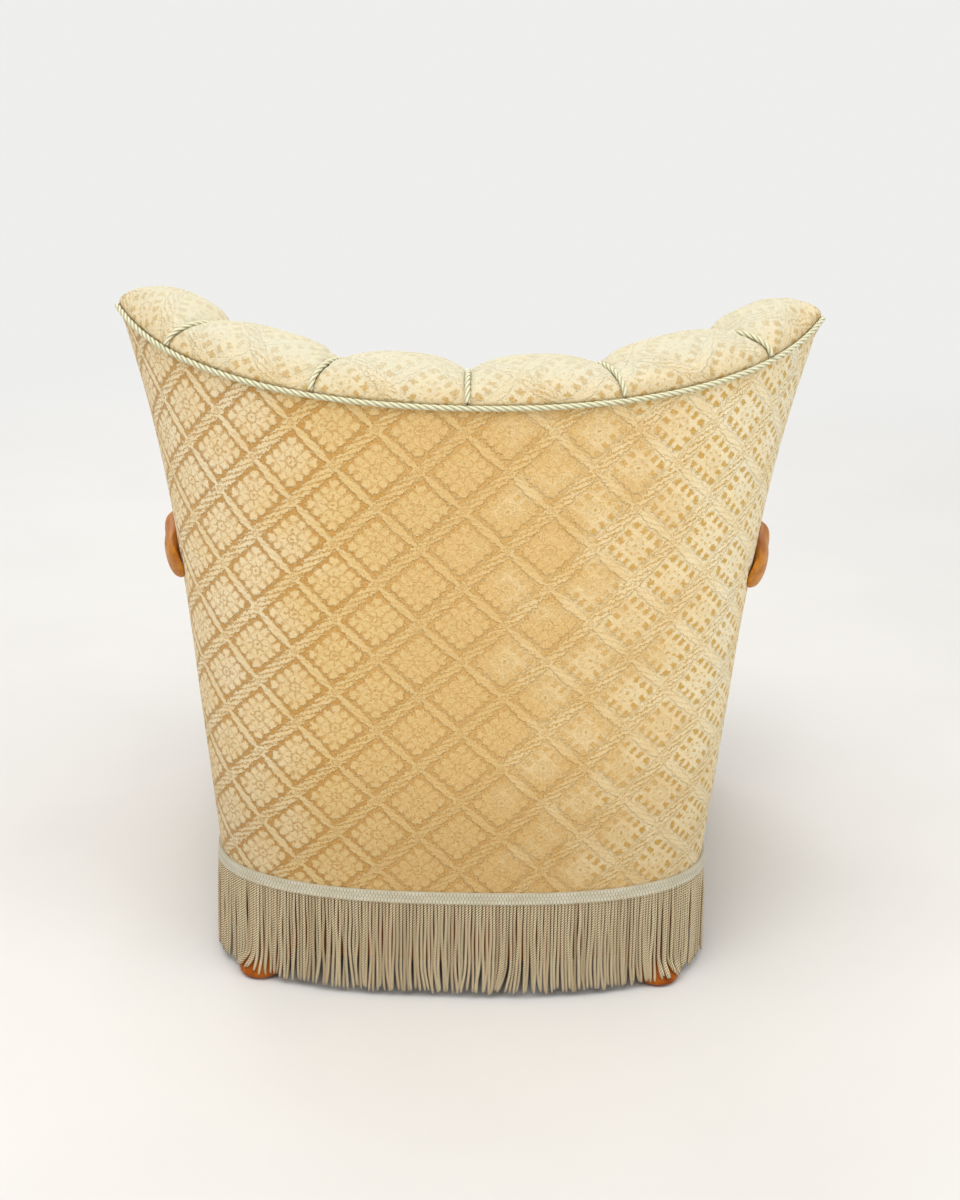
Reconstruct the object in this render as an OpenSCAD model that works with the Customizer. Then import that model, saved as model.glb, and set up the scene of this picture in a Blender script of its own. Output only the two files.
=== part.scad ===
// Low upholstered armchair with a channelled, wrap-round back, show-wood arms and a fringed base.
// Millimetres, +Z up, the chair faces -Y, its left and right are the sitter's, and +X is its left.

/* [Back shell] */
// Half the width of the outer back at the fringe
base_half_w = 294; // [270:1:310]
// How far the outer back widens for each millimetre of height
side_slope = 0.112; // [0.08:0.002:0.13]
// Extra half width at the ears, where the shell flares out
ear_flare = 46; // [30:1:56]
// How late the ears flare: a higher value keeps the lower back straight
flare_pow = 4.2; // [3.4:0.1:5.4]
// Depth of the rounded rear corner at the fringe
base_corner = 150; // [110:1:190]
// Depth of the rounded rear corner at the ears
ear_corner = 300; // [260:1:330]
// Squareness of the rear corner at the fringe, where 2 is an ellipse
base_square = 2.6; // [2.2:0.1:3]
// Squareness of the rear corner at the ears
ear_square = 2.05; // [1.95:0.05:2.4]
// How far the top of the back leans behind the fringe
back_lean = 56; // [20:1:80]
// Height of the top edge at the middle of the back
top_mid_z = 729; // [690:1:760]
// How much higher the ear tips are than the middle of the top edge
ear_rise = 62; // [40:1:80]
// How late the top edge climbs to the ears
ear_rise_pow = 2; // [1.6:0.1:3]
// Where the front edge of the ear is, measured along Y from the middle of the chair
ear_y = 196; // [170:1:210]
// Where the wing meets the seat, measured along Y from the middle of the chair
wing_foot_y = 10; // [-20:1:40]
// Thickness of the velvet
velvet_t = 2.5; // [1.5:0.1:3]

/* [Channels] */
// Where the seams beside the middle pair of channels are, as a share of half the back
seam_inner = 0.30; // [0.25:0.01:0.36]
// Where the outer seams are, as a share of half the back
seam_outer = 0.71; // [0.62:0.01:0.76]
// Height of the rolled top above the top edge
roll_h = 37; // [28:1:50]
// Share of the roll's height that is lost at the ears
ear_soft = 0.52; // [0.3:0.02:0.75]
// How far a seam lies below the crest of its channel on the roll
seam_dip = 14; // [8:1:24]
// How far a seam lies behind the crest of its channel on the inside back
seam_depth = 26; // [10:1:34]
// Thickness of the back at the middle of the top edge
top_thick = 108; // [95:1:130]
// Thickness of the back at its fullest, above the seat
lumbar_thick = 186; // [150:1:200]
// Height at which the back is fullest
lumbar_z = 470; // [440:1:520]
// Thickness of the wings
wing_thick = 86; // [76:1:100]
// How far the wing rolls forward of its cord
nose = 22; // [14:1:30]

/* [Seat] */
// Front of the seat, measured along Y from the middle of the chair
front_y = -388; // [-400:1:-360]
// How far the middle of the front bows forward
front_bow = 12; // [0:1:20]
// Radius of the front corners
front_corner_r = 60; // [45:1:80]
// How far the sides spread for each millimetre towards the front
side_splay = 0.05; // [0.02:0.005:0.07]
// Height of the cord round the seat
seat_rim_z = 335; // [322:1:350]
// How far the seat crowns above its cord
seat_crown = 64; // [45:1:75]
// Height of the spring canvas
canvas_z = 290; // [270:1:300]

/* [Frame] */
// Height of the underside of the base rails above the floor
rail_z = 46; // [42:1:56]
// Height of the base rails
rail_h = 130; // [110:1:140]
// Thickness of the base rails
rail_t = 28; // [22:1:32]
// Gap between the frame and the inside of the cover
frame_gap = 2.2; // [1:0.1:3]
// Depth of the posts and of the top rail, square to the shell
post_d = 40; // [32:1:42]
// Height of the top rail of the back
top_rail_h = 44; // [36:1:52]
// Height of the middle rail of the back
mid_rail_h = 45; // [36:1:55]
// Height of the side rails that hold the arms
arm_rail_h = 60; // [50:1:70]
// Clearance between neighbouring pieces
fit_gap = 0.3; // [0.2:0.05:0.5]

/* [Feet] */
// Radius of a foot at its top
foot_top_r = 31; // [26:1:33]
// Radius of a foot at the floor
foot_bottom_r = 26; // [22:1:28]
// How far the sides of a foot bulge
foot_belly = 3; // [0:0.5:5]
// How far the rear feet are raked towards the rear
rear_rake = 36; // [10:1:38]
// How far the front feet are raked towards the front
front_rake = 12; // [0:1:20]
// How far all the feet splay sideways
foot_splay = 21; // [0:1:24]
// Distance from the side of the base to the top of a rear foot along X
rear_foot_side = 75; // [72:1:90]
// Distance from the rear of the base to the top of a rear foot along Y
rear_foot_in = 87; // [84:1:95]
// Distance from the side of the base to the top of a front foot along X
front_foot_side = 47; // [42:1:60]
// Distance from the front of the base to the top of a front foot along Y
front_foot_in = 74; // [68:1:85]
// Radius of the dowel on top of a foot
dowel_r = 10; // [8:0.5:12]
// Length of the dowel on top of a foot
dowel_len = 34; // [24:1:40]
// Radius of the metal glides
glide_r = 11; // [8:1:14]
// Thickness of the metal glides
glide_t = 3; // [2:0.5:4]

/* [Arms] */
// Height of the middle of the arm
arm_z = 492; // [480:1:510]
// Height of the arm's section
arm_h = 43; // [36:1:50]
// Width of the arm's section at the hand
arm_w = 46; // [38:1:50]
// How far the outside of the arm at the hand is beyond the side of the base
hand_out = 92; // [86:1:97]
// Front end of the arm along Y
hand_y = -292; // [-310:1:-270]
// Middle of the arm's post along Y
post_y = -228; // [-240:1:-215]
// Lower end of the arm's post
post_foot_z = 152; // [148:1:165]
// Width of the arm's post along X
stump_w = 34; // [28:1:38]
// Depth of the arm's post along Y
stump_d = 42; // [34:1:48]

/* [Springs] */
// Distance between springs
spring_pitch = 140; // [120:1:150]
// Radius of a spring at its ends
spring_r = 46; // [36:1:50]
// Radius of a spring at its waist
waist_r = 32; // [24:1:36]
// Radius of the spring wire
wire_r = 2; // [1.5:0.1:2.5]
// Turns in a spring
spring_turns = 4; // [3:1:5]

/* [Trim] */
// Radius of the twisted cord on the edges
cord_r = 3; // [2:0.25:4]
// Radius of the twisted cord in the channel seams
seam_cord_r = 2.75; // [2:0.25:3.5]
// Height of the woven head of the fringe
head_h = 12; // [8:1:16]
// Height of the top of the fringe
fringe_top_z = 138; // [130:1:142]
// Height of the strand ends above the floor
fringe_end_z = 5; // [3:1:20]
// Thickness of the fringe
fringe_t = 3.6; // [2.5:0.1:4.5]
// Number of strands in the fringe
strands = 308; // [300:1:330]
// Thickness of the webbing
web_t = 2; // [1.5:0.1:2.5]
// Width of the webbing
web_w = 56; // [45:1:60]

/* [Hidden] */
velvet = "#E4C285";
velvet_pale = "#EBDCAE";
trim = "#C5C9A5";
show_wood = "#B4622C";
raw_wood = "#D0AC78";
canvas = "#B79D6E";
steel = "#9A9A98";
web = "#8A7248";
dust = "#3A3835";

// The fringe's head covers the lower edge of the velvet, which this height is 8 mm below.
hem_z = fringe_top_z;
cover_z = hem_z - 8;
rail_top = rail_z + rail_h;
ear_z = top_mid_z + ear_rise;
// The rear of the fringe lies as far behind the middle of the chair as leaves the two ends even.
rear_y = 348;
// Depth over which the side runs straight, from the rear corner to the front.
side_run = 578;
frame_in = velvet_t + frame_gap;
post_in = frame_in + post_d;
// Room between curved skins that lie against each other, and the inner skins of the back
skin_gap = 0.8;
back_web_t = 1.5;
lining_t = 1.6;
web_in = post_in + skin_gap;
lining_in = web_in + back_web_t + skin_gap;
core_in = lining_in + lining_t + skin_gap;
// Inset of the pieces behind the seat border
border_in = velvet_t + 3.5;
// How far a channel starts inside the outer face on the top edge
roll_in = 8;
// Places of the posts across half the back, and the joint beside them
stile_s = [0.42, 0.52];
wing_s = [0.93, 0.985];
joint_s = 0.0008;

// Columns across one channel and rows over it, finer beside the seams and on the roll
across = [0, 0.07, 0.24, 0.5, 0.76, 0.93];
nose_turns = [40, 80, 118, 150];
roll_angles = [0, 22, 48, 78, 108, 138, 162];
face_rows = [0, 0.12, 0.3, 0.5, 0.7, 0.86, 1];
seams = [0, seam_inner, seam_outer, 1];
half_cols = [for (k = [0:2]) for (q = across) seams[k] + q * (seams[k + 1] - seams[k])];
shell_cols = concat([-1], [for (k = [len(half_cols) - 1:-1:1]) -half_cols[k]], half_cols, [1]);

// Outline of the shell. w is 0 at the rear middle, 1 where the corner ends, and more along the side.
function rise(z) = max(0, (z - hem_z) / (ear_z - hem_z));
function half_w(z) = base_half_w + side_slope * (z - hem_z) + ear_flare * pow(rise(z), flare_pow);
function corner_run(z) = base_corner + (ear_corner - base_corner) * pow(rise(z), 1.5);
function squareness(z) = base_square + (ear_square - base_square) * rise(z);
function rear_at(z) = rear_y + back_lean * pow(rise(z), 1.2);
function side_start(z) = rear_at(z) - corner_run(z);
function side_x(y, z) = half_w(z) + (side_start(z) - y) * side_splay;

function plan(w, z, ins = 0) =
    let (a = half_w(z) - ins, b = corner_run(z) - ins, e = 2 / squareness(z), u = abs(w))
    u <= 1
        ? [sign(w) * a * pow(sin(90 * u), e), side_start(z) + b * pow(cos(90 * u), e), z]
        : [sign(w) * (side_x(side_start(z) - (u - 1) * side_run, z) - ins),
            side_start(z) - (u - 1) * side_run, z];

// Front edge of the wing, from the ear down to the seat
function wing_t(z) = max(0, (z - seat_rim_z) / (ear_z - seat_rim_z));
function edge_y(z) = wing_foot_y + (ear_y - wing_foot_y) * pow(wing_t(z), 0.8);
function edge_w(z) =
    let (c = side_start(z), y = edge_y(z))
    y < c ? 1 + (c - y) / side_run : acos(pow((y - c) / corner_run(z), squareness(z) / 2)) / 90;

// A point of the shell at s from -1 to 1 across the back, ins millimetres inside its outer face
function shell(s, z, ins = 0) = plan(s * edge_w(z), z, ins);
function top_z(s) = top_mid_z + ear_rise * pow(abs(s), ear_rise_pow);

// Thickness of the stuffed back, blended from the rear to the wings
function thick_at(z, s) =
    top_thick + (lumbar_thick - top_thick) * sin(90 * min(1, max(0, (top_z(s) - z) / (top_z(s) - lumbar_z))));
function inner(s, z, t) =
    let (p = shell(s, z), u = min(1, abs(s)))
    [p[0] - sign(s) * t * wing_thick * pow(sin(90 * u), 0.8),
        p[1] - t * thick_at(z, s) * (1 - 0.95 * pow(u, 2.2)), z];

// Section of a channel. full is 1 on its crest and 0 in the seams. turn runs from 0 degrees on the wing's
// inner face, round its front, towards the cord on its outer face.
function full_at(q) = 1 - pow(abs(2 * q - 1), 2.6);
function depth_share(full, z, s) = 1 - (1 - full) * seam_depth / thick_at(z, s);
function turned_share(turn) = turn / nose_turns[len(nose_turns) - 1];
function forward(turn, share) = share * nose * sin(turn) + (1 - share) * cord_lead * turned_share(turn);
function roll_pt(s, angle, full, turn) =
    let (
        z = top_z(s),
        fade = cos(turn / 2),
        share = (1 - cos(angle)) / 2,
        t = depth_share(full, z, s) * share * fade * fade,
        p = inner(s, z, t),
        crest = roll_h * (1 - ear_soft * pow(abs(s), 5)),
        lift = (crest - seam_dip * (1 - full)) * pow(sin(angle), 0.85) * fade
    )
    [p[0], p[1] - forward(turn, share) + roll_swell * full * fade * max(0, sin(2 * angle)), z + fit_gap + lift];
function face_pt(s, row, full, turn) =
    let (
        z = top_z(s) - row * (top_z(s) - channel_foot_z),
        p = inner(s, z, depth_share(full, z, s) * pow(cos(turn / 2), 2))
    )
    [p[0], p[1] - nose * sin(turn), z + fit_gap * (1 - row)];
// How far a channel swells behind its cord, and how far it passes the edge of the cover beside the cord and
// on its hidden side
roll_swell = 5;
cord_lead = 4.5;
core_nose = 3;
// How much the hidden side thins round the wing post, and rises over the top rail
core_taper = 1.5;
core_rise = 5;
// Height of the channels' foot behind the seat
channel_foot_z = seat_rim_z - 2;
function channel_col(s, full, turn = 0) =
    concat([for (a = roll_angles) roll_pt(s, a, full, turn)], [for (r = face_rows) face_pt(s, r, full, turn)]);
// The hidden side of a channel: over the top rail, down the lining and round the wing post
function core_ins(share, turn) =
    let (a = roll_in + (core_in - roll_in) * share)
    a + (velvet_t + fit_gap + core_taper * share - a) * turned_share(turn);
function core_col(s, turn = 0) =
    let (ahead = [0, -core_nose * turned_share(turn), 0])
    concat(
        [for (a = roll_angles)
            shell(s, top_z(s), core_ins((1 - cos(a)) / 2, turn)) + ahead
                + [0, 0, fit_gap + core_rise * sin(a) * cos(turn / 2)]],
        [for (r = face_rows)
            shell(s, top_z(s) - r * (top_z(s) - channel_foot_z) + fit_gap * (1 - r), core_ins(1, turn)) + ahead]
    );

function unit(v) = v / norm(v);
function turned(grid) = [for (i = [0:len(grid[0]) - 1]) [for (col = grid) col[i]]];
function flipped(p) = [-p[0], p[1], p[2]];

// A closed sheet or block between two grids of points with the same rows and columns
module slab(front, back) {
    rows = len(front);
    cols = len(front[0]);
    n = rows * cols;
    pts = concat([for (r = front) each r], [for (r = back) each r]);
    faces = concat(
        [for (i = [0:rows - 2]) for (j = [0:cols - 2]) let (a = i * cols + j) each [
            [a, a + 1, a + cols + 1],
            [a, a + cols + 1, a + cols],
            [n + a, n + a + cols, n + a + cols + 1],
            [n + a, n + a + cols + 1, n + a + 1]
        ]],
        [for (j = [0:cols - 2]) let (b = (rows - 1) * cols + j) each [
            [j + 1, j, n + j],
            [j + 1, n + j, n + j + 1],
            [b, b + 1, n + b + 1],
            [b, n + b + 1, n + b]
        ]],
        [for (i = [0:rows - 2]) let (a = i * cols, c = a + cols, d = c - 1, e = d + cols) each [
            [a, c, n + c],
            [a, n + c, n + a],
            [e, d, n + e],
            [d, n + d, n + e]
        ]]
    );
    polyhedron(pts, faces, convexity = 6);
}

// A tube or a carved bar along a path. Each station has a half width along its guide and a half depth.
// A square under 1 fills the corners of the section.
function soft(v, square) = sign(v) * pow(abs(v), square);
module bar(path, guides, halves, sides, square = 1) {
    last = len(path) - 1;
    rings = [for (i = [0:last])
        let (
            t = unit(path[min(i + 1, last)] - path[max(i - 1, 0)]),
            n2 = unit(cross(t, guides[i])),
            n1 = cross(n2, t)
        )
        [for (j = [0:sides - 1])
            let (a = 360 * (j + 0.5) / sides)
            path[i] + halves[i][0] * soft(cos(a), square) * n1 + halves[i][1] * soft(sin(a), square) * n2]];
    faces = concat(
        [for (i = [0:last - 1]) for (j = [0:sides - 1])
            let (a = i * sides + j, b = i * sides + (j + 1) % sides) each [
                [a, a + sides, b + sides],
                [a, b + sides, b]
            ]],
        [for (j = [1:sides - 2]) [0, j, j + 1]],
        [for (j = [1:sides - 2]) let (e = last * sides) [e, e + j + 1, e + j]]
    );
    polyhedron([for (r = rings) each r], faces, convexity = 8);
}
module cord(path, guides, r) bar(path, guides, [for (p = path) [r, r]], 6);

// Part of the shell between two insets, with its lower and upper edges following functions of s
module shell_part(cols, rows, in1, in2) {
    slab([for (r = rows) [for (s = cols) shell(s, r[0] + r[1] * top_z(s), in1)]],
        [for (r = rows) [for (s = cols) shell(s, r[0] + r[1] * top_z(s), in2)]]);
}
function between(a, b, n) = [for (i = [0:n]) a + (b - a) * i / n];
// Rows from a fixed height up to a drop below the top edge
function rows_up(z, drop, shares) = [for (h = shares) [z * (1 - h) - drop * h, h]];
function rows_flat(zs) = [for (z = zs) [z, 0]];

// Outline of the base and the seat: the side forward of a given point, the front corner and the front
function front_half(y0, z, ins) =
    let (yc = front_y + front_corner_r, xc = side_x(yc, z) - front_corner_r)
    concat(
        [for (y = between(y0, yc, 4)) [side_x(y, z) - ins, y, z]],
        [for (a = [15:15:90])
            [xc + (front_corner_r - ins) * cos(a), yc - (front_corner_r - ins) * sin(a), z]],
        [for (k = [0.7, 0.35, 0]) [xc * k, front_y + ins - front_bow * (1 - k * k), z]]
    );
function border_line(z, ins, ahead = fit_gap) =
    let (h = front_half(edge_y(z) - ahead, z, ins))
    concat(h, [for (i = [len(h) - 2:-1:0]) flipped(h[i])]);
function rear_half(z, ins) = [for (w = [0:1 / 20:0.999]) plan(w, z, ins)];
function loop_at(z, ins) =
    let (h = concat(rear_half(z, ins), front_half(side_start(z), z, ins)))
    concat(h, [for (i = [len(h) - 2:-1:1]) flipped(h[i])]);
function flat(pts) = [for (p = pts) [p[0], p[1]]];

module base_ring(in1, in2, h) {
    linear_extrude(height = h)
        difference() {
            polygon(flat(loop_at(hem_z, in1)));
            polygon(flat(loop_at(hem_z, in2)));
        }
}

// Base frame
module base_rail(y1, y2, side) {
    x_far = base_half_w + side_run * side_splay + 20;
    color(show_wood)
        intersection() {
            translate([0, 0, rail_z]) base_ring(frame_in, frame_in + rail_t, rail_h);
            translate([side < 0 ? -x_far : (side > 0 ? 0 : -x_far), y1, rail_z - 1])
                cube([side == 0 ? 2 * x_far : x_far, y2 - y1, rail_h + 2]);
        }
}
joint_rear_y = rear_y - base_corner + post_d;
joint_front_y = front_y + front_corner_r + 8;
module rear_rail() base_rail(joint_rear_y, rear_y + 5, 0);
module front_rail() base_rail(front_y - 30, joint_front_y, 0);
module side_rail_left() base_rail(joint_front_y, joint_rear_y, 1);
module side_rail_right() base_rail(joint_front_y, joint_rear_y, -1);

foot_tops = [
    [base_half_w - rear_foot_side, rear_y - rear_foot_in, rear_rake],
    [base_half_w - front_foot_side, front_y + front_foot_in, -front_rake]
];
block_h = 64;
block_w = 112;
module corner_blocks() {
    color(raw_wood)
        for (side = [1, -1]) for (f = foot_tops)
            difference() {
                intersection() {
                    translate([0, 0, rail_z])
                        linear_extrude(height = block_h)
                            polygon(flat(loop_at(hem_z, frame_in + rail_t + fit_gap)));
                    translate([side * (f[0] + 24), f[1] + sign(f[2]) * 24, rail_z - 1])
                        rotate(45) translate([-block_w / 2, -block_w / 2, 0]) cube([block_w, block_w, block_h + 2]);
                }
                translate([side * f[0], f[1], rail_z - 1]) cylinder(r = dowel_r + fit_gap, h = dowel_len + 3, $fn = 48);
            }
}

// A turned foot, raked and splayed, with its dowel
module foot(f, side) {
    shares = [0, 0.06, 0.25, 0.5, 0.75, 1];
    h = rail_z - glide_t;
    rings = [for (k = shares)
        let (r = foot_bottom_r + (foot_top_r - foot_bottom_r) * k + foot_belly * sin(180 * k) - (k == 0 ? 3 : 0))
        [for (a = [0:22.5:359])
            [side * (f[0] + foot_splay * (1 - k)) + r * cos(a), f[1] + f[2] * (1 - k) + r * sin(a), glide_t + h * k]]];
    n = 16;
    top = (len(shares) - 1) * n;
    faces = concat(
        [for (i = [0:len(shares) - 2]) for (j = [0:n - 1])
            let (a = i * n + j, b = i * n + (j + 1) % n) each [[a, a + n, b + n], [a, b + n, b]]],
        [for (j = [1:n - 2]) [0, j, j + 1]],
        [for (j = [1:n - 2]) [top, top + j + 1, top + j]]
    );
    color(show_wood) {
        polyhedron([for (r = rings) each r], faces);
        translate([side * f[0], f[1], rail_z - 0.5]) cylinder(r = dowel_r, h = dowel_len + 0.5, $fn = 48);
    }
}
module foot_rear_left() foot(foot_tops[0], 1);
module foot_rear_right() foot(foot_tops[0], -1);
module foot_front_left() foot(foot_tops[1], 1);
module foot_front_right() foot(foot_tops[1], -1);
module glides() {
    color(steel)
        for (side = [1, -1]) for (f = foot_tops)
            translate([side * (f[0] + foot_splay), f[1] + f[2], 0]) cylinder(r = glide_r, h = glide_t, $fn = 40);
}

// Seat suspension
module seat_webbing() {
    x_out = base_half_w - 10;
    color(web) {
        for (k = [-1:1])
            translate([k * spring_pitch - web_w / 2, front_y + 10, rail_z - 2 * web_t - 0.2])
                cube([web_w, rear_y - front_y - 26, web_t]);
        for (k = [-1:1])
            translate([-x_out, spring_y(k) - web_w / 2, rail_z - web_t - 0.1]) cube([2 * x_out, web_w, web_t]);
    }
}
function spring_y(k) = -95 + k * spring_pitch;
module dust_cover() {
    color(dust)
        translate([0, 0, rail_z - 2 * web_t - 1.6])
            linear_extrude(height = 1.2)
                difference() {
                    polygon(flat(loop_at(hem_z, 14)));
                    for (side = [1, -1]) for (f = foot_tops)
                        translate([side * (f[0] + foot_splay * 0.15), f[1] + f[2] * 0.15])
                            circle(r = foot_top_r + foot_belly + 4, $fn = 32);
                }
}
module seat_springs() {
    low = rail_z + wire_r + 0.2;
    high = canvas_z - wire_r - 0.2;
    steps = spring_turns * 6;
    color(steel)
        for (kx = [-1:1]) for (ky = [-1:1]) {
            path = [for (i = [0:steps])
                let (t = i / steps, r = waist_r + (spring_r - waist_r) * pow(abs(2 * t - 1), 1.5))
                [kx * spring_pitch + r * cos(i * 60), spring_y(ky) + r * sin(i * 60),
                    low + (high - low) * (t - sin(720 * t) / 40)]];
            bar(path, [for (p = path) [0, 0, 1]], [for (p = path) [wire_r, wire_r]], 4);
        }
}
module spring_canvas() {
    front = border_line(canvas_z, border_in + 3);
    rear = [for (s = shell_cols) shell(s, canvas_z, core_in)];
    color(canvas)
        translate([0, 0, canvas_z]) linear_extrude(height = 1.8) polygon(flat(concat(front, rear)));
}
module seat_edge_wire() {
    line = border_line(canvas_z, border_in + 8);
    color(steel)
        cord([for (p = line) [p[0], p[1], canvas_z - wire_r - fit_gap]], [for (p = line) [0, 0, 1]], wire_r);
}

// Seat cushion, from the canvas to its crown
seat_mid = [0, -100];
function column_full(k, q) = k == 2 && q > 0.5 ? 1 : full_at(q);
function seat_back_pt(s, full, z) = inner(s, z, depth_share(full, z, s) + 1 / lumbar_thick);
function seat_back(z) =
    [for (k = [0:2]) for (q = across)
        seat_back_pt(seams[k] + q * (seams[k + 1] - seams[k]), column_full(k, q), z)];
seat_nose = [for (a = concat([0], nose_turns)) if (a < 130)
    let (p = inner(1, seat_rim_z, pow(cos(a / 2), 2)))
    [p[0] - cos(a), p[1] - (nose + 1) * sin(a), seat_rim_z]];
seat_side_y = seat_nose[len(seat_nose) - 1][1] + 0.5;
// Outline of the seat where its rear edge is at the height z
function seat_line(z) =
    let (half = concat(seat_back(z), seat_nose, front_half(seat_side_y, seat_rim_z, border_in)))
    flat(concat(half, [for (i = [len(half) - 2:-1:1]) flipped(half[i])]));
// 1 where the seat tucks under the channels, 0 along its free edge
seat_tuck = [for (p = seat_line(seat_rim_z)) min(1, max(0, (p[1] - seat_side_y) / 60))];
// Height of the tucked edge as a share of the crown
tuck_share = 0.62;
module seat_cushion() {
    levels = [
        [0.97, canvas_z + 2.2, 0],
        [1, canvas_z + 12, 0],
        [1, seat_rim_z - 6, 0],
        [1, seat_rim_z + 6, 0],
        [0.985, seat_rim_z + 10, 0.3],
        [0.95, seat_rim_z + 10, 0.58],
        [0.87, seat_rim_z + 10, 0.82],
        [0.72, seat_rim_z + 10, 0.95],
        [0.45, seat_rim_z + 10, 0.99]
    ];
    line = seat_line(seat_rim_z);
    n = len(line);
    puff = seat_crown - 10;
    tucked = [for (i = [0:len(levels) - 1])
        seat_line(max(seat_rim_z, levels[i][1] + (i < 3 ? 0 : max(levels[i][2], tuck_share) * puff)))];
    pts = concat(
        [for (i = [0:len(levels) - 1]) for (j = [0:n - 1])
            let (
                l = levels[i],
                p = line[j] + seat_tuck[j] * (tucked[i][j] - line[j]) - seat_mid,
                low = max(0, seat_rim_z - l[1]) * side_slope / base_half_w,
                q = seat_mid + l[0] * [p[0] * (1 - low), p[1]],
                up = i < 3 ? l[2] : max(l[2], tuck_share * seat_tuck[j])
            )
            [q[0], q[1], l[1] + up * puff]],
        [[seat_mid[0], seat_mid[1], seat_rim_z + seat_crown], [seat_mid[0], seat_mid[1], canvas_z + 2.2]]
    );
    m = len(levels);
    faces = concat(
        [for (i = [0:m - 2]) for (j = [0:n - 1]) let (a = i * n + j, b = i * n + (j + 1) % n) each [
            [a, b, b + n], [a, b + n, a + n]
        ]],
        [for (j = [0:n - 1]) let (a = (m - 1) * n + j, b = (m - 1) * n + (j + 1) % n) [a, b, m * n]],
        [for (j = [0:n - 1]) [(j + 1) % n, j, m * n + 1]]
    );
    color(velvet) polyhedron(pts, faces, convexity = 4);
}
module seat_border() {
    rows = between(cover_z, seat_rim_z - cord_r, 3);
    color(velvet) slab([for (z = rows) border_line(z, 0)], [for (z = rows) border_line(z, velvet_t)]);
}
module seat_border_lining() {
    rows = between(rail_top + 1, seat_rim_z - 8, 3);
    color(canvas)
        slab([for (z = rows) border_line(z, velvet_t + 0.4)], [for (z = rows) border_line(z, border_in - fit_gap)]);
}
module seat_cord() {
    line = border_line(seat_rim_z, cord_r - fit_gap, nose / 2 + 1);
    color(trim) cord([for (p = line) p + [0, 0, fit_gap]], [for (p = line) [0, 0, 1]], cord_r);
}

// Back frame: posts from the base to the top rail, and rails between the posts
mid_rail_z = [canvas_z + 8, canvas_z + 8 + mid_rail_h];
arm_rail_z = [arm_z - arm_rail_h / 2, arm_z + arm_rail_h / 2];
module post(side, ends) {
    rows = concat(rows_flat(concat([rail_top + fit_gap], mid_rail_z, arm_rail_z)),
        [[arm_rail_z[1] / 2, 0.5], [-top_rail_h - 2 * fit_gap, 1]]);
    color(raw_wood)
        shell_part(side > 0 ? ends : [-ends[1], -ends[0]], rows, frame_in, post_in);
}
module back_stile_left() post(1, stile_s);
module back_stile_right() post(-1, stile_s);
module wing_post_left() post(1, wing_s);
module wing_post_right() post(-1, wing_s);
module back_top_rail() {
    cols = [for (s = shell_cols) max(-wing_s[1], min(wing_s[1], s))];
    color(raw_wood)
        shell_part(cols, [[-top_rail_h, 1], [-top_rail_h / 2, 1], [-1, 1]], frame_in, post_in);
}
// Columns of a rail that runs from s1 to s2
function rail_cols(s1, s2) = concat([s1], [for (s = shell_cols) if (s > s1 + 0.01 && s < s2 - 0.01) s], [s2]);
module back_mid_rail() {
    end = stile_s[0] - joint_s;
    color(raw_wood)
        shell_part(rail_cols(-end, end), rows_flat(mid_rail_z), frame_in, post_in);
}
module arm_rail(side) {
    ends = [stile_s[1] + joint_s, wing_s[0] - joint_s];
    color(raw_wood)
        shell_part(side > 0 ? rail_cols(ends[0], ends[1]) : rail_cols(-ends[1], -ends[0]),
            rows_flat(arm_rail_z), frame_in, post_in - 8);
}
module arm_rail_left() arm_rail(1);
module arm_rail_right() arm_rail(-1);
module arm_uprights() {
    color(raw_wood)
        for (side = [1, -1]) {
            front = [for (z = [rail_top + fit_gap, canvas_z - 8])
                [for (y = between(post_y + 30, post_y - 30, 2)) [side * (side_x(y, z) - border_in), y, z]]];
            back = [for (r = front) [for (p = r) [p[0] - side * rail_t, p[1], p[2]]]];
            if (side > 0) slab(front, back);
            else slab([for (r = front) [r[2], r[1], r[0]]], [for (r = back) [r[2], r[1], r[0]]]);
        }
}
module back_webbing() {
    color(web)
        for (m = [-0.62, -0.2, 0.2, 0.62])
            shell_part([m - 0.045, m, m + 0.045],
                rows_up(canvas_z + 12, top_rail_h / 2, [0, 0.25, 0.5, 0.75, 1]), web_in, web_in + back_web_t);
}
module back_lining() {
    color(canvas)
        shell_part(shell_cols,
            concat(rows_flat([canvas_z + 6]), [for (i = [len(face_rows) - 1:-1:0])
                [channel_foot_z * face_rows[i] - 2 * (1 - face_rows[i]), 1 - face_rows[i]]]),
            lining_in, lining_in + lining_t);
}

// Stuffed channels of the back. The gap between two of them is a share of half the back.
seam_gap = 0.0004;
module channel(k) {
    last = k == 2;
    s1 = seams[k] + seam_gap;
    s2 = seams[k + 1] - (last ? 0 : seam_gap);
    cols = concat(
        [for (q = across) channel_col(s1 + q * (s2 - s1), column_full(k, q))],
        last
            ? concat([channel_col(1, 1)], [for (a = nose_turns) channel_col(1, 1, a)])
            : [channel_col(s2, 0)]
    );
    cores = concat(
        [for (q = across) core_col(s1 + q * (s2 - s1))],
        last
            ? concat([core_col(1)], [for (a = nose_turns) core_col(1, a)])
            : [core_col(s2)]
    );
    color(velvet_pale) slab(turned(cols), turned(cores));
}
module channel_1() channel(2);
module channel_2() channel(1);
module channel_3() channel(0);
module channel_4() mirror([1, 0, 0]) channel(0);
module channel_5() mirror([1, 0, 0]) channel(1);
module channel_6() mirror([1, 0, 0]) channel(2);

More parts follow.
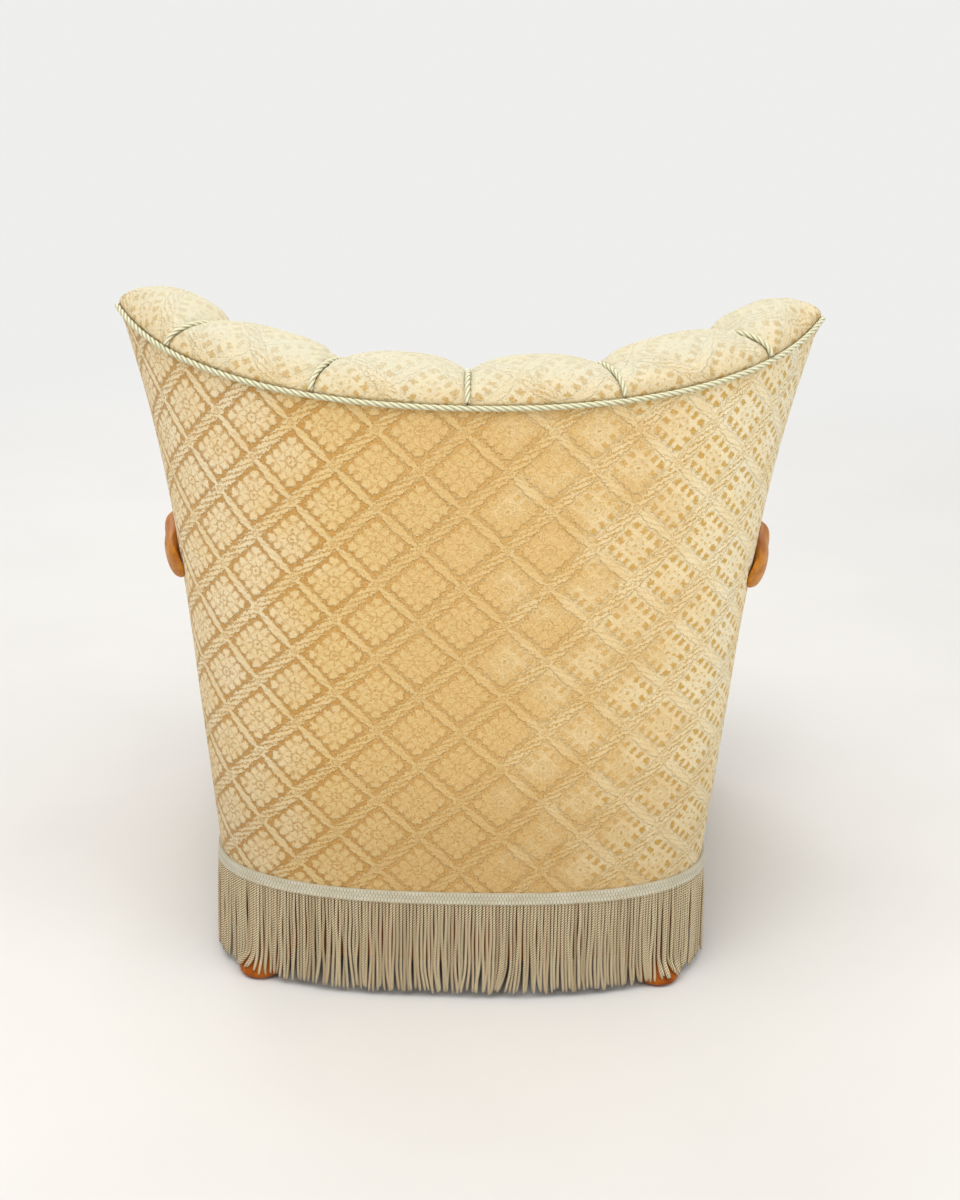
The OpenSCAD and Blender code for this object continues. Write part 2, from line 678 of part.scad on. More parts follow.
// Outer cover, lining and trim of the back
cover_shares = [0, 0.2, 0.4, 0.58, 0.72, 0.82, 0.9, 0.96, 1];
module outer_back_cover() {
    color(velvet) shell_part(shell_cols, rows_up(cover_z, 0, cover_shares), 0, velvet_t);
}
top_cord_drop = cord_r + 0.2;
module top_cord() {
    edge = [for (z = between(ear_z - 8 * cord_r, seat_rim_z + 2 * cord_r, 14)) shell(1, z, -cord_r - 0.4)];
    ridge = [for (s = shell_cols) let (p = shell(s, top_z(s), -cord_r - 0.4)) [p[0], p[1], p[2] - top_cord_drop]];
    path = concat([for (i = [len(edge) - 1:-1:0]) flipped(edge[i])], ridge, edge);
    middle = [0, ear_y / 3, (top_mid_z + cover_z) / 2];
    color(trim) cord(path, [for (p = path) p - middle], cord_r);
}
module channel_cords() {
    color(trim)
        for (s = [-seam_outer, -seam_inner, 0, seam_inner, seam_outer]) {
            roll = [for (a = roll_angles) if (a > 0) lifted(s, a)];
            face = [for (r = face_rows) if (r < 0.99)
                let (p = face_pt(s, r, 0, 0), q = inner(s, p[2], 1))
                p + seam_seat * unit([q[0] - p[0], q[1] - p[1], 8])];
            path = concat(roll, face);
            cord(path, [for (p = path) shell(s + 0.02, lumbar_z) - shell(s - 0.02, lumbar_z)], seam_cord_r);
        }
}
function lifted(s, a) =
    let (p = roll_pt(s, a, 0, 0), m = inner(s, top_z(s), 0.4))
    p + seam_seat * unit([p[0] - m[0], p[1] - m[1], p[2] - m[2] + 10]);
// Distance from the bottom of a seam's groove to the middle of its cord
seam_seat = 1.5 * seam_cord_r;

// How far a foot pushes the end of a strand out
function foot_push(p) =
    let (
        pushes = [for (side = [1, -1]) for (f = foot_tops)
            let (
                v = p - [side * (f[0] + 0.85 * foot_splay), f[1] + 0.85 * f[2]],
                short = foot_bottom_r + foot_belly + fringe_t + 1 - norm(v)
            )
            max(0, short) * unit(v)]
    )
    pushes[0] + pushes[1] + pushes[2] + pushes[3];

// Fringe: a woven head all round with its strands, as one piece
module fringe() {
    outer = loop_at(hem_z, -fringe_t);
    inside = loop_at(hem_z, -skin_gap);
    lo = running(outer);
    li = running(inside);
    lo_len = lo[len(lo) - 1];
    li_len = li[len(li) - 1];
    z_head = fringe_top_z - head_h;
    pts = [for (k = [0:strands - 1])
        let (
            f0 = at(outer, lo, lo_len * (k + 0.12) / strands),
            f1 = at(outer, lo, lo_len * (k + 0.88) / strands),
            fm = at(outer, lo, lo_len * (k + 0.5) / strands),
            b = at(inside, li, li_len * (k + 0.5) / strands),
            sway = 0.9 * sin(k * 137),
            drop = fringe_end_z + 1.5 + 1.5 * sin(k * 77),
            d = unit(f1 - f0) * sway + foot_push(fm)
        )
        each [
            [f0[0], f0[1], z_head], [f1[0], f1[1], z_head], [b[0], b[1], z_head],
            [fm[0], fm[1], fringe_top_z], [b[0], b[1], fringe_top_z],
            [f0[0] + d[0], f0[1] + d[1], drop], [f1[0] + d[0], f1[1] + d[1], drop],
            [b[0] + d[0], b[1] + d[1], drop]
        ]];
    faces = [for (k = [0:strands - 1]) let (a = 8 * k, n = 8 * ((k + 1) % strands)) each [
        [a, a + 1, a + 3], [a + 1, n + 3, a + 3], [a + 1, n, n + 3],
        [a + 2, a + 4, n + 4], [a + 2, n + 4, n + 2],
        [a + 3, n + 3, n + 4], [a + 3, n + 4, a + 4],
        [n, a + 1, a + 2], [n, a + 2, n + 2],
        [a + 5, a + 6, a + 1], [a + 5, a + 1, a],
        [a + 6, a + 7, a + 2], [a + 6, a + 2, a + 1],
        [a + 7, a + 5, a], [a + 7, a, a + 2],
        [a + 6, a + 5, a + 7]
    ]];
    color(trim) polyhedron(pts, faces, convexity = 20);
}
// Distance run along a closed loop at each of its points, and the point at a distance
function running(loop, i = 0, sum = 0, out = []) =
    i == len(loop) ? concat(out, [sum])
        : running(loop, i + 1, sum + norm(loop[(i + 1) % len(loop)] - loop[i]), concat(out, [sum]));
function at(loop, run, d) =
    let (n = len(loop), tx = [for (i = [0:n]) [run[i], loop[i % n][0]]], ty = [for (i = [0:n]) [run[i], loop[i % n][1]]])
    [lookup(d, tx), lookup(d, ty)];

// Show-wood arms
function cover_x(y, z) =
    let (b = corner_run(z), n = squareness(z), c = side_start(z))
    y < c ? side_x(y, z) : half_w(z) * pow(1 - pow(min(1, (y - c) / b), n), 1 / n);
hand_x = base_half_w + hand_out;
hand_mid_x = hand_x - arm_w / 2;
hand_z = arm_z + 7;
// The post's head is let into the underside of the arm by this much.
lap = 9;
lap_z = hand_z - arm_h / 2 + lap;
module arm(side) {
    // Against the back: distance along Y, how far the arm stands off the cover and out from it, rise of its
    // middle, half height as a share of the arm's height. It passes the cord on the wing's edge.
    tail = [
        [233, 0.5, 3, -2, 0.21],
        [226, 0.5, 7, -1, 0.35],
        [208, 0.5, 13.5, 0, 0.453],
        [178, 1, 19, 0, 0.488],
        [135, 3.5, 23, 0, 0.5],
        [96, 2 * cord_r + 3, 27, 0.5, 0.5]
    ];
    lean = [1, 0, (half_w(arm_z - arm_h / 2) - half_w(arm_z + arm_h / 2)) / arm_h];
    // Clear of the back: distance along Y, outside of the arm along X, rise of its middle, half width
    free = [
        [62, hand_x - 20, 1, 14],
        [20, hand_x - 17, 2, 18],
        [-50, hand_x - 10, 4, 21],
        [-120, hand_x - 4, 6, 22.5],
        [-180, hand_x, 7, arm_w / 2],
        [-235, hand_x, 7, arm_w / 2]
    ];
    wrapped = [for (t = tail) let (x = cover_x(t[0], arm_z))
        [[x + (t[1] + t[2]) / 2, t[0], arm_z + t[3]], (t[2] - t[1]) / 2, t[4] * arm_h]];
    plain = [for (t = free) [[t[1] - t[3], t[0], arm_z + t[2]], t[3], arm_h / 2]];
    knuckle = [
        [[hand_mid_x, hand_y + 34, hand_z - 3], arm_w / 2, arm_h / 2 - 0.5],
        [[hand_mid_x, hand_y + 18, hand_z - 10], arm_w / 2 - 0.5, arm_h / 2 - 1],
        [[hand_mid_x, hand_y + 10, hand_z - 20], arm_w / 2 - 1.5, arm_h / 2 - 3],
        [[hand_mid_x, hand_y + 9, hand_z - 29], arm_w / 2 - 5, arm_h / 2 - 7],
        [[hand_mid_x, hand_y + 10, hand_z - 35], arm_w / 2 - 12, arm_h / 2 - 14]
    ];
    stations = concat(wrapped, plain, knuckle);
    color(show_wood)
        side_of(side)
            difference() {
                bar([for (t = stations) t[0]], concat([for (t = tail) lean], [for (t = concat(plain, knuckle)) [1, 0, 0]]),
                    [for (t = stations) [t[1], t[2]]], 14, 0.86);
                translate([hand_mid_x - arm_w, post_y - head_d / 2 - fit_gap, lap_z - arm_h])
                    cube([2 * arm_w, head_d + 2 * fit_gap, arm_h]);
            }
}
module side_of(side) {
    if (side > 0) children();
    else mirror([1, 0, 0]) children();
}
module arm_left() arm(1);
module arm_right() arm(-1);
// Depth of the post's head along Y
head_d = stump_d + 10;
module arm_post(side) {
    // Share of the way up, how far the post swings along Y, and its width and depth as shares
    shape = [
        [0, 5, 0.5, 0.55],
        [0.02, 5, 0.82, 0.84],
        [0.06, 5, 0.98, 1],
        [0.2, 1, 1, 0.96],
        [0.4, -6, 0.95, 0.84],
        [0.6, -9, 0.9, 0.8],
        [0.78, -6, 0.94, 0.88],
        [0.91, -2, 1.08, 1.04]
    ];
    top = lap_z - fit_gap;
    stations = concat(
        [for (t = shape)
            let (
                z = post_foot_z + (top - post_foot_z) * t[0],
                hw = stump_w / 2 * t[2],
                y = post_y + t[1],
                low = side_x(y, min(z, seat_rim_z)) + 2 * fit_gap + stump_w / 2,
                up = max(0, (z - seat_rim_z) / (top - seat_rim_z))
            )
            [[low + (hand_mid_x - low) * pow(up, 1.3), y, z], hw, stump_d / 2 * t[3]]],
        [for (z = [top - lap, top]) [[hand_mid_x, post_y, z], arm_w / 2 - 3, head_d / 2]]
    );
    color(show_wood)
        side_of(side)
            bar([for (t = stations) t[0]], [for (t = stations) [1, 0, 0]], [for (t = stations) [t[1], t[2]]], 14, 0.86);
}
module arm_post_left() arm_post(1);
module arm_post_right() arm_post(-1);

rear_rail();
front_rail();
side_rail_left();
side_rail_right();
corner_blocks();
foot_rear_left();
foot_rear_right();
foot_front_left();
foot_front_right();
glides();
seat_webbing();
dust_cover();
seat_springs();
spring_canvas();
seat_edge_wire();
seat_cushion();
seat_border();
seat_border_lining();
seat_cord();
back_stile_left();
back_stile_right();
wing_post_left();
wing_post_right();
back_top_rail();
back_mid_rail();
arm_rail_left();
arm_rail_right();
arm_uprights();
back_webbing();
back_lining();
channel_1();
channel_2();
channel_3();
channel_4();
channel_5();
channel_6();
outer_back_cover();
top_cord();
channel_cords();
fringe();
arm_left();
arm_right();
arm_post_left();
arm_post_right();
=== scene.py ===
import math

import bmesh
import bpy
import numpy as np
from mathutils import Matrix, Vector


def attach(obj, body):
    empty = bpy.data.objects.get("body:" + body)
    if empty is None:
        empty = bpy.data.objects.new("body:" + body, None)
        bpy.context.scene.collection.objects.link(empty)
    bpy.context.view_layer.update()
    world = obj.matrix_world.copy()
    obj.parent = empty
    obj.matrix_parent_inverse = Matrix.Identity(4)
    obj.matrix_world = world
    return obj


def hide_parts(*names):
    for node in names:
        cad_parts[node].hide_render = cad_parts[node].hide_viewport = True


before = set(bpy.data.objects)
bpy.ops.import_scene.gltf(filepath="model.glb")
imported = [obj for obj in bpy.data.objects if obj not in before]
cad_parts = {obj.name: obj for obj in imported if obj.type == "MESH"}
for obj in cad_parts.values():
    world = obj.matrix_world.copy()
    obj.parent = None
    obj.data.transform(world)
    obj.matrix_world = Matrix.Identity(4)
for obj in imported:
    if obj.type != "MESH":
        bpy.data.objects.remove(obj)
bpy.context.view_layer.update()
mm = 0.001
print("frame loaded:", len(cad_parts), "nodes")


# Camera behind the chair, a little above it
shot = {"place": (-0.017, 2.427, 1.231), "pitch": 19.4, "roll": 1.05, "lens": 60}


def placeCamera():
    tilt, lean = math.radians(shot["pitch"]), math.radians(shot["roll"])
    forward = Vector((0, -math.cos(tilt), -math.sin(tilt)))
    up = Vector((0, -math.sin(tilt), math.cos(tilt)))
    right = Vector((-1, 0, 0))
    across = right * math.cos(lean) + up * math.sin(lean)
    upward = up * math.cos(lean) - right * math.sin(lean)
    camera = bpy.data.objects.new("camera", bpy.data.cameras.new("camera"))
    camera.data.lens = shot["lens"]
    turn = Matrix((across, upward, -forward)).transposed().to_4x4()
    camera.matrix_world = Matrix.Translation(shot["place"]) @ turn
    bpy.context.scene.collection.objects.link(camera)
    bpy.context.scene.camera = camera


placeCamera()


# Values and colours that run through a node tree
class Wire:
    def __init__(self, socket):
        self.socket, self.tree = socket, socket.id_data

    def math(self, operation, *others, clamp=False):
        inputs = dict(enumerate((self,) + others))
        return made(self.tree, "Math", 0, inputs, operation=operation, use_clamp=clamp)

    def __add__(self, other):
        return self.math("ADD", other)

    def __sub__(self, other):
        return self.math("SUBTRACT", other)

    def __mul__(self, other):
        return self.math("MULTIPLY", other)

    def size(self):
        return self.math("ABSOLUTE")

    def rest(self):
        return self * -1.0 + 1.0

    def most(self, *others):
        wire = self
        for other in others:
            wire = wire.math("MAXIMUM", other)
        return wire

    def step(self, low, high, atLow=0.0, atHigh=1.0):  # eased from atLow to atHigh
        ends = {"Value": self, "From Min": low, "From Max": high, "To Min": atLow, "To Max": atHigh}
        return made(self.tree, "MapRange", "Result", ends, interpolation_type="SMOOTHSTEP")

    def near(self, at, gone, full):  # a line, full this far from its place and gone that far from it
        return (self - at).size().step(gone, full)

    def split(self):
        node = self.tree.nodes.new("ShaderNodeSeparateXYZ")
        feed(node.inputs[0], self)
        return [Wire(part) for part in node.outputs]

    def noise(self, scale, detail=2.0, rough=0.5, stretch=None):
        at = made(self.tree, "Mapping", 0, {"Vector": self, "Scale": stretch}) if stretch else self
        inputs = {"Vector": at, "Scale": scale, "Detail": detail, "Roughness": rough}
        return made(self.tree, "TexNoise", "Fac", inputs)

    def mixed(self, first, second, blend="MIX"):
        inputs = {0: self, 6: first, 7: second}
        return made(self.tree, "Mix", 2, inputs, data_type="RGBA", blend_type=blend)

    def ramp(self, stops):
        node = self.tree.nodes.new("ShaderNodeValToRGB")
        band = node.color_ramp
        while len(band.elements) < len(stops):
            band.elements.new(0.5)
        for element, (at, *color) in zip(band.elements, stops):
            element.position = at
            element.color = linear(*color)
        feed(node.inputs[0], self)
        return Wire(node.outputs[0])

    def bumped(self, distance, strength=1.0):
        return made(self.tree, "Bump", 0, {"Height": self, "Distance": distance, "Strength": strength})


def feed(socket, value):
    if isinstance(value, Wire):
        value.tree.links.new(value.socket, socket)
    else:
        socket.default_value = value


def made(tree, kind, out, inputs=None, **settings):
    node = tree.nodes.new("ShaderNode" + kind)
    for name, value in settings.items():
        setattr(node, name, value)
    for name, value in (inputs or {}).items():
        feed(node.inputs[name], value)
    return Wire(node.outputs[out])


def onPoints(tree, name):  # a value kept on the points of the mesh
    return made(tree, "Attribute", "Fac", attribute_name=name)


def linear(red, green, blue):  # screen values from 0 to 255
    scaled = [v / 255 for v in (red, green, blue)]
    return tuple(v / 12.92 if v <= 0.04045 else ((v + 0.055) / 1.055) ** 2.4 for v in scaled) + (1.0,)


def dimmed(color, share):
    return tuple(v * share for v in color[:3]) + (1.0,)


# Effects are groups. draw takes the group's inputs and gives its outputs by name.
def makeGroup(name, takes, draw):
    tree = bpy.data.node_groups.new(name, "ShaderNodeTree")
    for label, start in takes.items():
        kind = "NodeSocketVector" if start is None else "NodeSocketFloat"
        socket = tree.interface.new_socket(name=label, in_out="INPUT", socket_type=kind)
        if start is not None:
            socket.default_value = start
    entry = tree.nodes.new("NodeGroupInput").outputs
    gives = draw(*(Wire(entry[label]) for label in takes))
    for label in gives:
        tree.interface.new_socket(name=label, in_out="OUTPUT", socket_type="NodeSocketFloat")
    exits = tree.nodes.new("NodeGroupOutput").inputs
    for label, wire in gives.items():
        feed(exits[label], wire)
    return tree


def place(tree, group, **values):
    node = tree.nodes.new("ShaderNodeGroup")
    node.node_tree = group
    for name, value in values.items():
        feed(node.inputs[name], value)
    return {socket.name: Wire(socket) for socket in node.outputs}


# The figure of the cut velvet. A cell is one diamond of the lattice, with a floret in its middle.
# A line's three numbers are its place, and where its edge starts and ends; a band has the edge alone.
figure = {
    "swayScale": (16.0, 18.0),
    "stretch": (1.05, 0.95),
    "floret": 0.350,
    "floretEdge": (0.030, -0.022),
    "squareness": 7.0,
    "scallopPitch": 0.178,
    "scallopDepth": 0.014,
    "crease": (-0.30, -0.80),
    "creaseFrom": (0.215, 0.25),
    "petals": 4.0,
    "petalEdge": (0.5, 0.15),
    "wreath": (0.145, 0.062, 0.035),
    "ring": (0.092, 0.026, 0.010),
    "seam": (0.212, 0.022, 0.006),
    "eye": (0.040, 0.022),
    "floretCut": -0.66,
    "turns": 4.0,
    "ropeSlant": 10.0,
    "ropeEdge": (0.112, 0.072),
    "ropeSwell": 0.075,
    "ropeStrand": (0.43, 0.27, 0.18, 1.0),
    "leafSlant": 9.0,
    "leafEdge": (0.022, -0.018),
    "leafHalf": (0.018, 0.060),
    "leafSwell": 0.035,
    "leafVein": (0.36, 0.46),
    "crossRope": (0.095, 0.075),
    "crossLeaf": (0.085, 0.068),
    "knotRing": (0.050, 0.018, 0.006),
    "knotEye": (0.020, 0.008),
    "knotCut": -0.6,
    "dots": (0.284, 0.080, 0.050),
    "petalDots": (0.150, 0.032, 0.012),
    "ropeLine": (0.114, 0.018, 0.005),
    "relief": (0.55, 0.45),
}


def drawFigure(cell, waver):
    across, along, _ = cell.split()
    swayP, swayQ = ((cell.noise(scale, 3.0) - 0.5) * waver for scale in figure["swayScale"])
    p = across - across.math("ROUND") + swayP
    q = along - along.math("ROUND") + swayQ
    x, y = (part.size() * share for part, share in zip((p, q), figure["stretch"]))
    power = figure["squareness"]
    square = (x.math("POWER", power) + y.math("POWER", power)).math("POWER", 1 / power)
    middle = (p * p + q * q).math("SQRT")

    # a square with four scallops on a side and creases between them, a wreath of petals and a ring
    scallop = (x.math("MINIMUM", y) * (2 * math.pi / figure["scallopPitch"])).math("COSINE") * -1.0
    motif = (square - figure["floret"] - scallop * figure["scallopDepth"]).step(*figure["floretEdge"])
    crease = scallop.step(*figure["crease"]) * square.step(*figure["creaseFrom"])
    petal = (p.math("ARCTAN2", q) * figure["petals"]).math("SINE").size()
    petals = petal.step(*figure["petalEdge"]) * middle.near(*figure["wreath"])
    ring, seam = middle.near(*figure["ring"]), square.near(*figure["seam"])
    eye = middle.step(*figure["eye"])
    floret = motif * (crease.most(petals, ring, eye, seam * 0.6) * figure["floretCut"] + 1.0)

    # twisted bands lie where p nears a half, leaf bands where q does, and a knot where they cross
    ropeAt = p.size() * -1.0 + 0.5
    leafAt = q.size() * -1.0 + 0.5
    slant = (ropeAt * p.math("SIGN") - swayP * 0.4) * figure["ropeSlant"]
    wave = (((along - swayQ * 0.6) * figure["turns"] - slant).math("FRACT") - 0.5).size()
    ropeBand = (ropeAt + (wave - 0.25) * figure["ropeSwell"]).step(*figure["ropeEdge"])
    rope = ropeBand * wave.step(*figure["ropeStrand"])
    slant = leafAt * q.math("SIGN") * figure["leafSlant"]
    vein = ((across * figure["turns"] - slant).math("FRACT") - 0.5).size()
    more, half = figure["leafHalf"]
    leafHalf = (p * (2 * math.pi)).math("COSINE") * more + half
    leafBand = (leafAt - leafHalf + (vein - 0.25) * figure["leafSwell"]).step(*figure["leafEdge"])
    leaf = leafBand * vein.step(*figure["leafVein"], 1.0, 0.66)
    crossing = ropeAt.step(*figure["crossRope"]) * leafAt.step(*figure["crossLeaf"])
    knotFrom = (ropeAt * ropeAt + leafAt * leafAt).math("SQRT")
    knotCut = knotFrom.near(*figure["knotRing"]).most(knotFrom.step(*figure["knotEye"]))
    knot = crossing * (knotCut * figure["knotCut"] + 1.0)
    pile = floret.most(rope.most(leaf) * crossing.rest() + knot)

    # what is painted dark on light where the nap leans the other way, as painted sheen
    dots = scallop.step(-0.35, 0.35) * square.near(*figure["dots"])
    petalDots = petal.step(0.62, 0.88) * middle.near(*figure["petalDots"])
    ropeLines = (ropeBand * wave.step(0.24, 0.44) * 0.9).most(ropeAt.near(*figure["ropeLine"]) * 0.5)
    lines = ropeLines.most(leafBand * vein.step(*figure["leafVein"]) * 0.4) * crossing.rest()
    spots = dots.most(petalDots * 0.75, eye * 0.8, lines, crossing * knotCut * 0.5)
    base, top = figure["relief"]
    height = motif.most(ropeBand, leafBand) * base + pile * top
    return {"Pile": pile, "Spots": spots, "Height": height}


def drawBrush(at, patch, tuft):  # soft brush marks in the pile, and its single tufts
    return {"Patches": at.noise(patch, 4.0, 0.55).step(0.3, 0.7), "Tufts": at.noise(tuft, 3.0, 0.7)}


def drawPly(uv, plies, lays, fibre):  # U runs along the cord, V once round it
    along, around, _ = uv.split()
    swell = ((around - along * lays) * plies * math.pi).math("COSINE").size()
    fibres = uv.noise(fibre, 3.0, 0.6, (1.0, 3.0, 1.0))
    # the valleys between the plies, which the cords darken as painted shade
    return {"ValleyShade": swell.step(0.84, 0.30), "Height": swell.math("POWER", 0.6), "Fibres": fibres}


def drawGrain(at, scale):  # the grain runs along Z
    scaled = made(at.tree, "VectorMath", 0, {0: at, 3: scale}, operation="SCALE")
    bent = scaled.noise(1.0, 2.0, 0.5, (14, 14, 2))
    rings = scaled.noise(1.0, 5.0, 0.6, (70, 70, 4))
    pores = scaled.noise(1.0, 3.0, 0.6, (420, 420, 22))
    return {"Streaks": (rings * 0.7 + bent * 0.3).step(0.34, 0.66), "Pores": pores.step(0.50, 0.66)}


def drawWeave(at, threads, slub):  # plain weave of hessian, jute or cotton
    x, y, _ = at.split()
    drift = (at.noise(60.0, 3.0) - 0.5) * slub
    u = ((x * threads + drift) * math.pi).math("SINE")
    v = ((y * threads - drift) * math.pi).math("SINE")
    over = (u * v).step(-0.3, 0.3)
    warp, weft = u.size(), v.size()
    return {"Thread": over * warp + over.rest() * weft, "Gap": warp.most(weft).step(0.62, 0.3)}


figureGroup = makeGroup("cutVelvetFigure", {"Cell": None, "Waver": 0.13}, drawFigure)
brushGroup = makeGroup("pileBrush", {"Vector": None, "Patch": 1.1, "Tuft": 30.0}, drawBrush)
plyGroup = makeGroup("twistedPly", {"UV": None, "Plies": 3.0, "Lays": 1.0, "Fibre": 26.0}, drawPly)
grainGroup = makeGroup("woodFigure", {"Vector": None, "Scale": 1.0}, drawGrain)
weaveGroup = makeGroup("plainWeave", {"Vector": None, "Threads": 600.0, "Slub": 0.5}, drawWeave)


def newMaterial(name, **sockets):
    material = bpy.data.materials.new(name)
    material.use_nodes = True
    shader = material.node_tree.nodes["Principled BSDF"].inputs
    for label, value in sockets.items():
        shader[label.replace("_", " ")].default_value = value
    return material, material.node_tree, shader


# Velvet: the two tones of the figure with the lay of the nap, from 0 on one side to 1 on the other. The
# tones that follow the lay, and the figure turning dark on light past it, are painted sheen for how the nap
# takes the light.
velvet = {
    "deep": [
        (0.0, 198, 148, 76),
        (0.35, 210, 155, 76),
        (0.6, 214, 162, 86),
        (0.85, 214, 170, 80),
        (1.0, 208, 168, 80),
    ],
    "pale": [
        (0.0, 251, 232, 192),
        (0.3, 242, 210, 146),
        (0.6, 240, 204, 138),
        (0.85, 255, 236, 192),
        (1.0, 255, 246, 216),
    ],
    # painted sheen: the pale tone mixed over the tops of the channel rolls
    "paintedSheen": linear(236, 236, 212),
    # painted shade: the tone multiplied in where the velvet is darkened for how the light falls
    "paintedShadeTone": (0.42, 0.38, 0.34, 1.0),
    "sheen": linear(247, 240, 214),
    "brushed": 0.14,
    "turnOver": (0.5, 0.8),  # past this lay the figure is painted dark on light, as painted sheen of the turned nap
    "calm": (0.24, 0.46),  # the figure is painted fainter by this share where the nap faces the light, as painted sheen
    "calmTone": 0.62,
    "wornTone": 0.76,
    "fuzz": (1.6, 1.9),
    "paintedSheenFuzz": 0.9,
    "tuftHeight": 0.8,
    "relief": 0.0015,
}


def makeVelvet(name, relief=1.0, worn=0.0):
    material, tree, shader = newMaterial(
        name,
        Roughness=0.88,
        Sheen_Weight=0.3,
        Sheen_Roughness=0.42,
        Sheen_Tint=velvet["sheen"],
        Specular_IOR_Level=0.1,
    )
    uv = made(tree, "UVMap", "UV")
    cut, brush = place(tree, figureGroup, Cell=uv), place(tree, brushGroup, Vector=uv)
    # painted sheen: the lay, with brushed patches, picks the tones and turns the figure dark on light
    turned = onPoints(tree, "lay") + (brush["Patches"] - 0.5) * velvet["brushed"]
    crossed = turned.step(*velvet["turnOver"])
    share = cut["Pile"] * crossed.rest() + cut["Spots"].rest() * crossed
    reach, fade = velvet["calm"]
    calm = (turned - 0.5).size().step(0.0, reach, fade, 0.0)
    share = share + (share * -1.0 + velvet["calmTone"]) * calm
    share = share * (1 - worn) + velvet["wornTone"] * worn
    fuzz = brush["Tufts"] - 0.5
    more, least = velvet["fuzz"]
    share = (share + fuzz * (calm * more + least)).math("MAXIMUM", 0.0, clamp=True)
    color = share.mixed(turned.ramp(velvet["deep"]), turned.ramp(velvet["pale"]))
    # painted sheen: pale mixed in where the points carry it, over the roll tops
    color = (onPoints(tree, "paintedSheen") + fuzz * velvet["paintedSheenFuzz"]).mixed(color, velvet["paintedSheen"])
    # painted shade: darker where the points carry it, low on the back and on the roll tops
    color = onPoints(tree, "paintedShade").mixed(color, velvet["paintedShadeTone"], "MULTIPLY")
    feed(shader["Base Color"], color)
    height = cut["Height"] + brush["Tufts"] * velvet["tuftHeight"]
    feed(shader["Normal"], height.bumped(velvet["relief"] * relief))
    return material


def makeCordMaterial(name, light, dark, lays, depth):  # light is one tone, or the stops of a ramp
    material, tree, shader = newMaterial(
        name, Roughness=0.62, Sheen_Weight=0.2, Sheen_Roughness=0.4, Specular_IOR_Level=0.3
    )
    ply = place(tree, plyGroup, UV=made(tree, "UVMap", "UV"), Plies=3.0, Lays=lays)
    if isinstance(light, list):
        light = onPoints(tree, "tint").ramp(light)
    # painted shade in the valleys between the plies
    color = (ply["ValleyShade"] * 0.9).mixed(light, dark)
    color = (ply["Fibres"].step(0.5, 0.75) * 0.3).mixed(color, dark)
    feed(shader["Base Color"], color)
    feed(shader["Normal"], (ply["Height"] + ply["Fibres"] * 0.25).bumped(depth))
    return material


def makeWood(name, light, dark, rough, coat, turn, scale=1.0):
    material, tree, shader = newMaterial(
        name, Roughness=rough, Coat_Weight=coat, Coat_Roughness=0.16, Specular_IOR_Level=0.12
    )
    coords = made(tree, "TexCoord", "Object")
    turned = made(tree, "Mapping", 0, {"Rotation": turn, "Vector": coords})
    grain = place(tree, grainGroup, Vector=turned, Scale=scale)
    color = grain["Streaks"].mixed(linear(*dark), linear(*light))
    feed(shader["Base Color"], (grain["Pores"] * 0.4).mixed(color, linear(*dark)))
    feed(shader["Roughness"], grain["Streaks"].step(0.0, 1.0, rough + 0.08, rough - 0.03))
    height = grain["Pores"] * -1.0 + grain["Streaks"] * 0.2
    feed(shader["Normal"], height.bumped(0.0002, 0.6))
    return material


def makeCloth(name, light, dark, threads, depth=0.0004):
    material, tree, shader = newMaterial(name, Roughness=0.9, Specular_IOR_Level=0.2)
    uv = made(tree, "UVMap", "UV")
    weave = place(tree, weaveGroup, Vector=uv, Threads=threads)
    mottle = uv.noise(24.0, 4.0).step(0.3, 0.7)
    color = (weave["Thread"] * 0.7 + mottle * 0.3).mixed(linear(*dark), linear(*light))
    # painted shade in the gaps between the threads
    feed(shader["Base Color"], (weave["Gap"] * 0.8).mixed(color, dimmed(linear(*dark), 0.35)))
    feed(shader["Normal"], weave["Thread"].bumped(depth))
    return material


def makeSteel(name, tone, rough):
    material, tree, shader = newMaterial(name, Metallic=1.0)
    coords = made(tree, "TexCoord", "Object")
    smears = coords.noise(60.0, 5.0).step(0.3, 0.75)
    feed(shader["Base Color"], smears.mixed(linear(*tone), dimmed(linear(*tone), 0.6)))
    feed(shader["Roughness"], smears.step(0.0, 1.0, rough, rough + 0.25))
    feed(shader["Normal"], coords.noise(900.0).bumped(0.00005))
    return material


velvetBack = makeVelvet("velvetBack")
velvetChannel = makeVelvet("velvetChannel", relief=0.6, worn=0.2)
# the dark tone is painted shade in the valleys of the twist, and the dark of the fibres
cordTones = linear(228, 224, 192), linear(170, 166, 124)
cordMaterial = makeCordMaterial("cord", *cordTones, lays=0.0, depth=0.0005)
strandTones = [
    (0.0, 220, 194, 150),
    (0.35, 250, 230, 186),
    (0.6, 238, 218, 176),
    (0.8, 248, 218, 174),
    (1.0, 238, 218, 178),
]
# the strands' dark tone is painted shade in the valleys of the twist, and the dark of the fibres
strandMaterial = makeCordMaterial("strand", strandTones, linear(40, 27, 14), lays=1.0, depth=0.0011)
grainX, grainY, grainZ = (0, math.pi / 2, 0), (math.pi / 2, 0, 0), (0, 0, 0)
stain = {"light": (208, 138, 30), "dark": (164, 92, 10), "rough": 0.4, "coat": 0.03}
